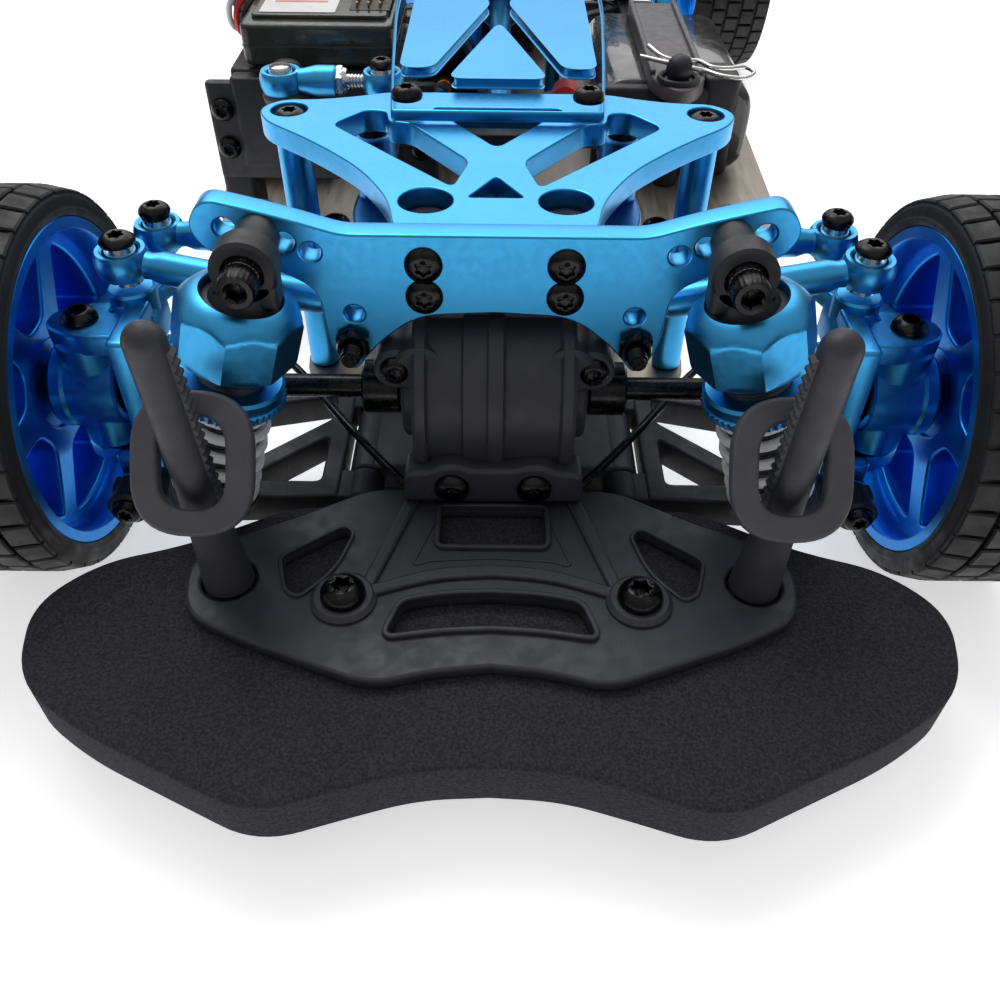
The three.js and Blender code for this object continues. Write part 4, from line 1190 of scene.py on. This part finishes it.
def shock_body(at):
    flats = ("flats", 8, 8.5)
    cap = [(5.7, 6.4), (5.75, 4.7), (5.95, 4.4), (7.4, 5.0), (8.5, 6.3)]
    cap += [(8.5 + 0.275 * i, 6.3 + 0.33 * i, flats) for i in range(1, 5)]
    cap += [(9.6, 13.3, flats), (9.1, 14.1, flats), (8.1, 14.8), (5.2, 14.8)]
    thread = [(5.3, 14)]
    pitch = 0.8
    for i in range(22):
        s = 14.4 + i * pitch
        thread += [(5.3, s), (5.3, s + 0.25), (4.95, s + 0.5)]
    thread += [(5.2, 34), (4.8, 34.4), (0, 34.4)]
    knurl = ("knurl", 48, 0.05)
    collar = [(5.3, 18.7), (7.6, 18.7), (8.1, 19.1), (8.1, 20.8), (8.3, 20.9), (8.5, 21.0, knurl),
              (8.5, 22.1, knurl), (8.2, 22.4), (5.3, 22.4)]
    eye_axis = Vector(FORWARD)
    x, y, z = SHOCK_TOP
    eye = [(3.0, -2.4), (4.2, -2.4), (4.65, -1.9), (4.65, 1.9), (4.2, 2.4), (3.0, 2.4)]
    eyelet = turned(eye, SHOCK_TOP, eye_axis, 40, closed=True)
    stem = on_shock([(0, 3.4), (3.6, 3.4), (4.6, 5.4), (5.65, 5.7), (5.65, 7), (0, 7)], 40)
    shoulder = block((x - 4.2, x + 4.8), (y - 2.4, y + 2.4), (z - 5.6, z - 1.6), 1, 0.5)
    pin = ball_and_pin(SHOCK_TOP, eye_axis, 3.5, 3.5)
    washer = rod((x, y - 2.6, z), (x, y - 3.4, z), 2.5, edge=0.1)
    screw = cap_head((x, y - 3.4, z), eye_axis, 2.6, 3.6)
    parts = [
        (on_shock(cap, 56, True), BLUE), (on_shock(thread + [(0, 14)], 40), THREAD),
        (on_shock(collar, 144, True), BLUE), (joined(eyelet, stem, shoulder), DARK),
        (joined(pin, washer), STEEL), (screw, BLACK_STEEL),
    ]
    piece("damper_" + at.name, parts, "shock_body_" + at.name, at, ["shock_body_" + at.name])


def shock_rod(at):
    x, y, z = SHOCK_FOOT
    eye = [(1.6, -2.7), (3.2, -2.7), (3.6, -2.3), (3.6, 2.3), (3.2, 2.7), (1.6, 2.7)]
    foot = turned(eye, SHOCK_FOOT, REARWARD, 32, closed=True)
    seat = [(1.5, 43), (6.6, 43), (7.2, 43.4), (7.3, 44.6), (5.2, 45), (4.2, 47), (3.2, 49), (1.5, 49)]
    seat = on_shock(seat, 48, True)
    piston = on_shock([(0, 29.6), (1.5, 29.6), (1.5, SHOCK_LENGTH - 2), (0, SHOCK_LENGTH - 2)], 24)
    pin = rod((x, y - 3.6, z), (x, y + 3.6, z), 1.55, segments=20)
    head = button_head((x, y - 3.4, z), FORWARD, 2.6, 1.4)
    parts = [(joined(foot, seat), DARK), (piston, STEEL), (joined(pin, head), BLACK_STEEL)]
    piece("piston_" + at.name, parts, "shock_rod_" + at.name, at, ["shock_rod_" + at.name])


def spring(at):
    """The white coil, closed at both ends, wound between the collar and the seat."""
    top, bottom, turns, wire, radius = 22.9, 42.5, 5.6, 0.85, 6.35
    across = SHOCK_AXIS.cross(Vector(REARWARD)).normalized()
    over = SHOCK_AXIS.cross(across)
    run = []
    count = int(turns * 28)
    for i in range(count + 1):
        share = i / count
        eased = 0.5 - 0.5 * math.cos(PI * share)
        reach = top + (bottom - top) * (share * 0.78 + eased * 0.22)
        angle = share * turns * 2 * PI
        around = across * math.cos(angle) + over * math.sin(angle)
        run.append(SHOCK_TOP + SHOCK_AXIS * reach + around * radius)
    made = piece("spring_" + at.name, [(tube(run, wire, 10), SPRING)], None, at)
    start, end = at(SHOCK_TOP + SHOCK_AXIS * top), at(SHOCK_TOP + SHOCK_AXIS * bottom)
    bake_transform(made)


def corner(at):
    rim(at)
    tyre(at)
    lower_arm(at)
    drive_shaft(at)
    shock_body(at)
    shock_rod(at)
    spring(at)
    outer = button_head(LINK_OUTER + Vector((0, 0, 3.4)), UP, 2.9, 1.3)
    ball_link("camber_link_" + at.name, "upper_link_" + at.name, LINK_INNER, LINK_OUTER,
              "upper_link_" + at.name, at, outer)
    end, name = at.name.split("_")
    if end == "rear":
        rear_hub(at, name)
        return
    caster_block(at, name)
    knuckle(at, name)
    top = button_head(TIE_OUTER + Vector((0, 0, 4.0)), UP, 2.8, 1.5)
    collar = rod(TIE_OUTER + Vector((0, 0, 3.0)), TIE_OUTER + Vector((0, 0, 4.2)), 2.5, edge=0.2)
    ball_link("steering_link_" + name, "tie_rod_" + name, TIE_INNER, TIE_OUTER, "tie_rod_" + name,
              at, joined(top, collar))
    bellcrank(at, name)


# ---------------------------------------------------------------- steering
def bellcrank(at, name):
    x, y = CRANK_PIVOT
    tie_x, tie_y, _ = TIE_INNER
    rear_y = y + CRANK_REAR_REACH
    forward = [(x - 4.2, y + 3, 4), (x + 4.2, y + 3, 4), (x + 4.6, y - 8, 5), (x + 2.6, y - 16, 5),
               (tie_x + 4, tie_y, 4), (tie_x, tie_y - 4, 4), (tie_x - 4, tie_y, 4), (x - 3, y - 16, 5),
               (x - 5, y - 8, 5)]
    rearward = [(x - 4.2, y - 3, 4), (x - 4, y + 9, 5), (x - 3.4, rear_y, 3), (x, rear_y + 3.8, 3),
                (x + 3.4, rear_y, 3), (x + 4, y + 9, 5), (x + 4.2, y - 3, 4)]
    top = STEERING_ARM_TOP
    shapes = [
        turned([(0, 0), (4.4, 0), (4.4, 33), (3.8, 33.5), (3.8, 38.5), (4.4, 39), (4.4, 46.4), (4, 46.7),
                (0, 46.7)], (x, y, CHASSIS_TOP + 0.3), UP, 40),
        plate(rounded(forward), (top - 4, top), edge=0.7),
        plate(rounded(rearward), (47.4, 51.4), edge=0.7),
    ]
    screws = [button_head((x, y, 54.9), UP, 2.9, 1.6)]
    pins = [rod((tie_x, tie_y, top - 0.2), (tie_x, tie_y, top + 1.4), 2.4, edge=0.2)]
    parts = [(joined(*shapes), DEEP_BLUE), (joined(*screws), BLACK_STEEL), (joined(*pins), STEEL)]
    piece("crank_" + name, parts, "bellcrank_" + name, at, ["bellcrank_" + name])


def servo_horn():
    x, z = SERVO_SHAFT
    outline = [(x - 5, z - 3, 4), (x + 5, z - 3, 4), (x + 3.4, z + HORN_LENGTH + 2, 3),
               (x - 3.4, z + HORN_LENGTH + 2, 3)]
    shapes = [upright(rounded(outline), (79.6, 82), edge=0.5), rod((x, 79.4, z), (x, 83.6, z), 5),
              block((x - 3, x + 3), (71.6, 80), (z + 3.4, z + 5.8), 1.4, 0.5)]
    screws = [button_head((x, 79.5, z), FORWARD, 2.4, 1.4)]
    parts = [(joined(*shapes), DARK), (joined(*screws), BLACK_STEEL)]
    piece("horn_arm", parts, "servo_horn", FRONT, ["servo_horn"])


def servo_link():
    """The adjustable link from the servo horn to one bellcrank."""
    y = CRANK_PIVOT[1] + CRANK_REAR_REACH
    z = SERVO_SHAFT[1] + HORN_LENGTH
    start, end = Vector((SERVO_SHAFT[0], y, z)), Vector((-CRANK_PIVOT[0], y, z))
    below = Vector(DOWN)
    sleeve = [(0, 3.4), (2.4, 3.4), (2.5, 5), (3.1, 7.6), (3.1, 11.4), (2.8, 11.8), (0, 11.8)]
    sleeve = turned(sleeve, start, OUTBOARD, 32)
    nut_shape = nut(start + Vector((11.8, 0, 0)), OUTBOARD, 3.2, 2.2, 1.5)
    bar = threaded(start + Vector((12, 0, 0)), end - Vector((3.6, 0, 0)), 1.5, 0.7, 0.2, 20)
    balls = [ball_and_pin(start, UP, 2.6, 6.8), ball_and_pin(end, UP, 3.2, 5)]
    seal = rod(start + below * 2.1, start + below * 7, 4.5, 3.6, edge=0.8)
    parts = [
        (joined(sleeve, ball_eye(start, radius=4.6), ball_eye(end)), BLUE),
        (joined(nut_shape, bar, *balls), STEEL),
        (seal, RUBBER),
        (button_head(end + Vector((0, 0, 3.2)), UP, 2.7, 1.5), BLACK_STEEL),
    ]
    piece("servo_turnbuckle", parts, "servo_link", FRONT, ["servo_link"])


def drag_link():
    x = CRANK_PIVOT[0]
    y = CRANK_PIVOT[1] + CRANK_REAR_REACH
    outline = [(-x - 3.6, y, 3), (-x, y - 3.6, 3), (x, y - 3.6, 3), (x + 3.6, y, 3), (x, y + 3.6, 3),
               (-x, y + 3.6, 3)]
    parts = [(plate(rounded(outline), (44, 46.8), edge=0.5), DARK)]
    piece("drag_link_bar", parts, "servo_link", FRONT)


# ---------------------------------------------------------------- drivetrain
def spur_teeth(centre, radius, y, count, depth=0.05):
    teeth = ("knurl", count, depth)
    profile = [(0, 0), (radius * 0.96, 0), (radius, 0.3, teeth), (radius, y[1] - y[0] - 0.3, teeth),
               (radius * 0.96, y[1] - y[0]), (0, y[1] - y[0])]
    return turned(profile, (centre[0], y[0], centre[1]), REARWARD, count * 6)


def center_shaft():
    start, end = 18.5, WHEELBASE - 18.5
    z = SHAFT_Z
    bar = rod((0, start + 6, z), (0, end - 6, z), 3.2, segments=36)
    cups = [pipe((0, start, z), (0, start + 10, z), 5, 3.4, 0.4),
            pipe((0, end - 10, z), (0, end, z), 5, 3.4, 0.4)]
    clamp = rod((0, GEAR_Y - 4, z), (0, GEAR_Y, z), 8, edge=0.5)
    bolts = [
        button_head((5.6 * math.cos(a), GEAR_Y - 4, z + 5.6 * math.sin(a)), FORWARD, 1.3, 0.8)
        for a in (0.4 + i * PI / 2 for i in range(4))
    ]
    gear = spur_teeth((0, z), SPUR_RADIUS, (GEAR_Y, GEAR_Y + 5), 58, 0.05)
    parts = [(joined(bar, clamp), BLUE), (joined(*cups, *bolts), BLACK_STEEL), (gear, DARK)]
    piece("drive_line", parts, "center_shaft", FRONT, ["center_shaft"])


def motor():
    y0 = GEAR_Y - 58
    x, z = MOTOR_X, MOTOR_Z
    can = [(0, 0), (9, 0), (9.4, -0.3), (16.6, 0), (17.8, 1), (18, 2), (18, 6), (17.6, 6.4), (17.6, 8),
           (18, 8.4), (18, 44), (17.5, 46), (16, 48), (0, 48)]
    bell = [(0, 48), (16.4, 48), (16.4, 50.6), (0, 50.6)]
    floor = CHASSIS_TOP + 0.3
    mount = [(x - 19, floor), (x + 17, floor), (x + 17, z + 6, 6), (x + 8, z + 12, 6),
             (x - 10, z + 12, 6), (x - 19, z + 4, 6)]
    plate_shape = upright(rounded(mount, 1), (GEAR_Y - 8, GEAR_Y - 5), edge=0.5)
    tabs = [rod((x + 8 * c, y0 - 3, z + 8 * s), (x + 8 * c, y0 + 1, z + 8 * s), 2.2)
            for c, s in ((1, 0), (-1, 0))]
    band = [(18.1, 12), (18.25, 12.2), (18.25, 39.8), (18.1, 40)]
    parts = [
        (turned(can, (x, y0, z), REARWARD, 72), BLACK_STEEL),
        (joined(turned(bell, (x, y0, z), REARWARD, 48), plate_shape), STEEL),
        (turned(band, (x, y0, z), REARWARD, 72, closed=True), WHEEL_BLUE),
        (joined(*tabs), COPPER),
    ]
    piece("motor_can", parts, "root", FRONT, ["motor"])
    shaft = rod((x, GEAR_Y - 4.8, z), (x, GEAR_Y + 8, z), 1.6)
    gear = spur_teeth((x, z), 7.4, (GEAR_Y - 0.5, GEAR_Y + 6), 24, 0.09)
    hub = rod((x, GEAR_Y - 4.6, z), (x, GEAR_Y - 0.4, z), 5.2)
    piece("pinion_gear", [(joined(gear, hub, shaft), BRASS)], "motor_pinion", FRONT, ["motor_pinion"])


# ---------------------------------------------------------------- electronics
def servo():
    floor = CHASSIS_TOP + 0.3
    shapes = [
        block((-60.8, -21.2), (88.4, 121.8), (32, 53.8), 1.6, 0.9),
        block((-60.2, -21.8), (84.2, 89), (32.6, 53.2), 1.4, 0.7),
        block((-61, -21), (108, 109.2), (31.8, 54), 1.6, 0.4),
        block((-66, -14), (84.5, 87.5), (30, 52), 1.2, 0.5),
        rod((SERVO_SHAFT[0], 84.4, 43), (SERVO_SHAFT[0], 83.9, 43), 6.4, edge=0.2),
    ]
    for x0, x1 in ((-66, -58.6), (-24, -14)):
        shapes.append(block((x0, x1), (84.6, 96), (floor, 32.6), 1.4, 0.8))
        shapes.append(block((x0 - 1, x1 + 1), (84, 97), (floor, floor + 3.4), 1.4, 0.8))
        shapes.append(block((x0, x1), (87.6, 93), (32, 50), 1.4, 0.8))
    spots = [(x, z) for x in (-62.7, -18) for z in (37.5, 46.3)]
    heads = [button_head((x, 84.5, z), FORWARD, 2.6, 1.6) for x, z in spots]
    piece("servo_case", [(joined(*shapes), DARK), (joined(*heads), BLACK_STEEL)], "root", FRONT,
          ["steering_servo"])


def receiver():
    """A translucent case over its circuit board, with a blank label and a row of pins."""
    low, high = 54.6, 64
    case = block((-57, -23), (88, 122), (low, high - 0.8), 2.2, 0.9)
    lid = block((-55, -25), (92.4, 121), (high - 1.2, high), 1.4, 0.4)
    seam = block((-57.15, -22.85), (87.85, 122.15), (58.4, 58.9), 2.3, 0.15)
    board = block((-54.5, -25.5), (89.6, 120), (56.2, 57), 0.5, 0.1)
    chips = [block((x, x + 3), (90.2, 92.4), (57, 59.2), 0.2, 0.1) for x in (-50, -45, -40.5, -36)]
    label = block((-53.4, -36.5), (94, 119), (high, high + 0.15), 0.6, 0.05)
    ink = (high + 0.12, high + 0.22)
    marks = [block((-51, -39), (y, y + 1.1), ink, 0.3, 0.03) for y in (101, 105, 112)]
    socket = block((-33.6, -24.6), (96, 119), (high - 0.2, high + 0.1), 0.4, 0.05)
    pins = [
        rod((x, y, high), (x, y, high + 1.2), 0.32, edge=0.05, segments=8)
        for x in (-32, -29.4, -26.8) for y in (98 + 2.54 * k for k in range(8))
    ]
    parts = [(joined(case, lid, seam), SMOKED), (board, BOARD), (joined(label, *chips), LABEL),
             (joined(*marks), LABEL_MARK), (socket, DARK), (joined(*pins), BRASS)]
    piece("receiver_case", parts, "root", FRONT, ["receiver"])


def battery():
    """Two shrink-wrapped cells under a hold-down bar, whose round end is pinned on a post."""
    floor, high = CHASSIS_TOP + 0.3, 34
    cells = []
    for x, front, far in ((37.5, 140, 201), (62, 138, 201)):
        left, right, low = x - 9.8, x + 10, floor + 0.6
        outline = [(left, low, 8), (right, low, 8), (right, high, 9), (left, high, 9)]
        cells.append(upright(rounded(outline, 8, 8), (front, far), edge=2.2))
    tray = [
        block((27, 67), (136.6, 141), (floor, 33), 2.4, 1),
        block((57, 67.4), (136.4, 150), (floor, 36), 2.6, 1.2),
    ]
    bar = [(41.4, 132, 6), (49, 122, 8), (56.6, 132, 6), (56.6, 200, 2), (41.4, 200, 2)]
    rails = [block((x, x + 1.6), (136, 199), (36, 38.2), 0.6, 0.4) for x in (41.4, 55)]
    hold = joined(plate(rounded(bar, 2, 8), (33, 37), edge=0.6), *rails)
    x, y = 48.6, 132
    post = [
        rod((x, y, floor), (x, y, 36), 3.4),
        turned([(4.4, 37.2), (4.4, 38), (4.9, 38.4), (5.6, 38.2), (5.9, 37.2)], (x, y, 0), closed=True),
        rod((x, y, 35), (x, y, 40), 3),
        ball((x, y, 40), 3.7),
    ]
    parts = [(joined(*cells), WRAP), (hold, STRAP), (joined(*tray, *post), DARK)]
    piece("battery_cells", parts, "root", FRONT, ["battery_pack"])
    clip_run = [(-8, 8, 3.2), (-4.6, 3.4, 2), (0, 1.6, 1.4), (5, 2.6, 1.2), (8.4, -1.6, 1),
                (13, -1, 0.6), (18, 1.4, 0.2), (19.6, -2.4, 0), (16, -6.4, 0), (10.4, -5.6, 0.2),
                (6.6, -2.6, 0.4), (3, -1.6, 0.8), (-4, 1.4, 1.2), (-10.4, 4.4, 1.6)]
    clip_run = [(x + dx, y + dy, 40 + dz) for dx, dy, dz in clip_run]
    piece("battery_clip", [(tube(curve_through(clip_run, 8), 0.62, 12), STEEL)], "root", FRONT)


def speed_controller():
    (x0, y0, z0), (x1, y1, z1) = ((v / MM for v in corner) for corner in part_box("speed_controller"))
    y0, y1 = y0 - FRONT_Y, y1 - FRONT_Y
    case = block((x0, x1), (y0, y1), (z0, z1 - 7), 1.5, 0.8)
    fins = [block((x, x + 1.5), (y0 + 2, y1 - 2), (z1 - 7.4, z1), 0.3, 0.2)
            for x in (x0 + 1.5 + 2.9 * i for i in range(9))]
    base = block((x0 + 0.5, x1 - 0.5), (y0 + 0.5, y1 - 0.5), (z1 - 8, z1 - 6), 1, 0.3)
    piece("controller_case", [(case, DARK), (joined(base, *fins), BLUE)], "root", FRONT,
          ["speed_controller"])


def leads():
    """The flexible leads, each run between two housings."""
    runs = [
        ("servo_lead_white", WIRE_WHITE, 0.7, [
            (-57, 120, 50), (-62, 116, 53), (-63.4, 108, 57), (-62, 104, 63), (-58.4, 110, 65.4),
            (-50, 121, 65), (-40, 123.4, 62)]),
        ("servo_lead_red", WIRE_RED, 0.7, [
            (-57, 120, 48.6), (-61, 117, 51.5), (-62.2, 109, 55.5), (-60.8, 105, 61.6),
            (-57.6, 111, 64.2), (-49, 122.3, 63.7), (-40, 124.5, 60.6)]),
        ("servo_lead_black", WIRE_BLACK, 0.7, [
            (-57, 120, 47.2), (-60, 118, 50), (-61, 110, 54), (-59.6, 106, 60.2),
            (-56.6, 112.4, 62.8), (-48, 123.5, 62.4), (-40, 125.6, 59.2)]),
        ("power_lead_red", WIRE_RED, 1.8, [
            (28, 126, 26), (19, 118, 34), (16.4, 104, 43), (15.4, 90, 47), (12, 84, 44),
            (11, 96, 34), (6, 120, 24), (-20, 148, 24), (-44, 152, 24), (-49, 152, 24)]),
        ("power_lead_black", WIRE_BLACK, 1.8, [
            (28, 134, 20), (18, 136, 30), (8, 140, 27), (-20, 144, 18), (-44, 144, 18),
            (-49, 144, 18)]),
        ("motor_lead_yellow", LABEL_MARK, 1.6, [
            (-32, 147.6, 26), (-34, 142, 26), (-40, 142, 25), (-49, 160, 22)]),
        ("motor_lead_blue", DEEP_BLUE, 1.6, [
            (-16, 147.6, 26), (-18, 140, 30), (-34, 137, 32), (-50, 140, 27)]),
    ]
    for name, material, radius, points in runs:
        piece(name, [(tube(curve_through(points, 8), radius, 14), material)], "root", FRONT)
    sleeve = curve_through([(16.6, 106, 42), (15.8, 96, 46.6), (15.3, 89, 47.2)], 8)
    piece("power_sleeve", [(tube(sleeve, 3.3, 24), WIRE_RED)], "root", FRONT)


# ---------------------------------------------------------------- studio
def camera():
    """Looks down on the nose from just ahead of the front axle."""
    yaw, pitch, roll = (math.radians(a) for a in (0.238, 44.134, 0.798))
    ahead = Vector((math.sin(yaw) * math.cos(pitch), math.cos(yaw) * math.cos(pitch), -math.sin(pitch)))
    right = ahead.cross(Vector(UP)).normalized()
    up = right.cross(ahead)
    right, up = (
        right * math.cos(roll) + up * math.sin(roll),
        up * math.cos(roll) - right * math.sin(roll),
    )
    data = bpy.data.cameras.new("camera")
    data.lens, data.sensor_width = 33.29, 36
    data.clip_start, data.clip_end = 0.005, 50
    made = bpy.data.objects.new("camera", data)
    made.matrix_world = Matrix.Translation(FRONT((0.703, -128.053, 129.637))) @ Matrix(
        (right, up, -ahead)).transposed().to_4x4()
    bpy.context.scene.collection.objects.link(made)
    bpy.context.scene.camera = made


def softbox(name, place, target, size, power, colour=(1, 1, 1)):
    data = bpy.data.lights.new(name, "AREA")
    data.shape = "RECTANGLE"
    data.size, data.size_y = size
    data.energy = power
    data.color = colour
    made = bpy.data.objects.new(name, data)
    made.location = place
    made.rotation_euler = (Vector(target) - Vector(place)).to_track_quat("-Z", "Y").to_euler()
    bpy.context.scene.collection.objects.link(made)


def studio():
    scene = bpy.context.scene
    scene.view_settings.view_transform = "Standard"
    world = bpy.data.worlds.new("studio")
    world.use_nodes = True
    nodes, links = world.node_tree.nodes, world.node_tree.links
    split = nodes.new("ShaderNodeSeparateXYZ")
    ramp = nodes.new("ShaderNodeValToRGB")
    for element, (position, level) in zip(ramp.color_ramp.elements, ((0.0, 0.16), (0.75, 1.0))):
        element.position = position
        element.color = (level, level, level * 1.01, 1)
    links.new(nodes.new("ShaderNodeTexCoord").outputs["Generated"], split.inputs["Vector"])
    links.new(split.outputs["Z"], ramp.inputs["Fac"])
    links.new(ramp.outputs["Color"], nodes["Background"].inputs["Color"])
    nodes["Background"].inputs["Strength"].default_value = 0.5
    scene.world = world
    softbox("overhead", (0, 0.95, 0.95), (0, -0.05, 0.03), (1.8, 1.3), 11)
    softbox("key", (-0.25, 0.35, 1.0), (0, -0.05, 0.03), (0.6, 0.5), 3)
    mesh = bpy.data.meshes.new("floor")
    reach = 12
    corners = [(x * reach, y * reach, 0) for x, y in ((-1, -1), (1, -1), (1, 1), (-1, 1))]
    mesh.from_pydata(corners, [], [(0, 1, 2, 3)])
    floor = bpy.data.objects.new("floor", mesh)
    look = Look("floor_white", "foam", (0.9, 0.9, 0.91), 0.8)
    look.cloudy(3, 2, (0.88, 0.88, 0.89), (0.9, 0.9, 0.91))
    look.set("Emission Color", (1, 1, 1, 1))
    look.set("Emission Strength", 0.58)
    mesh.materials.append(look.material)
    scene.collection.objects.link(floor)


# ---------------------------------------------------------------- the car
camera()
studio()
chassis()
bumper_foam()
bumper_plate()
for side_name, side_sign in SIDES:
    body_post(side_name, side_sign)
    post_ring(side_name, side_sign)
brace()
deck()
gearbox("front", FRONT, BRACE_TOP - 3, True)
gearbox("rear", REAR, BRACE_TOP, False)
for end_label, end_frame in (("front", FRONT), ("rear", REAR)):
    shock_tower(end_label, end_frame)
    roll_bar(end_label, end_frame)
for corner_frame in CORNERS:
    corner(corner_frame)
servo_horn()
servo_link()
drag_link()
center_shaft()
motor()
servo()
receiver()
battery()
speed_controller()
leads()
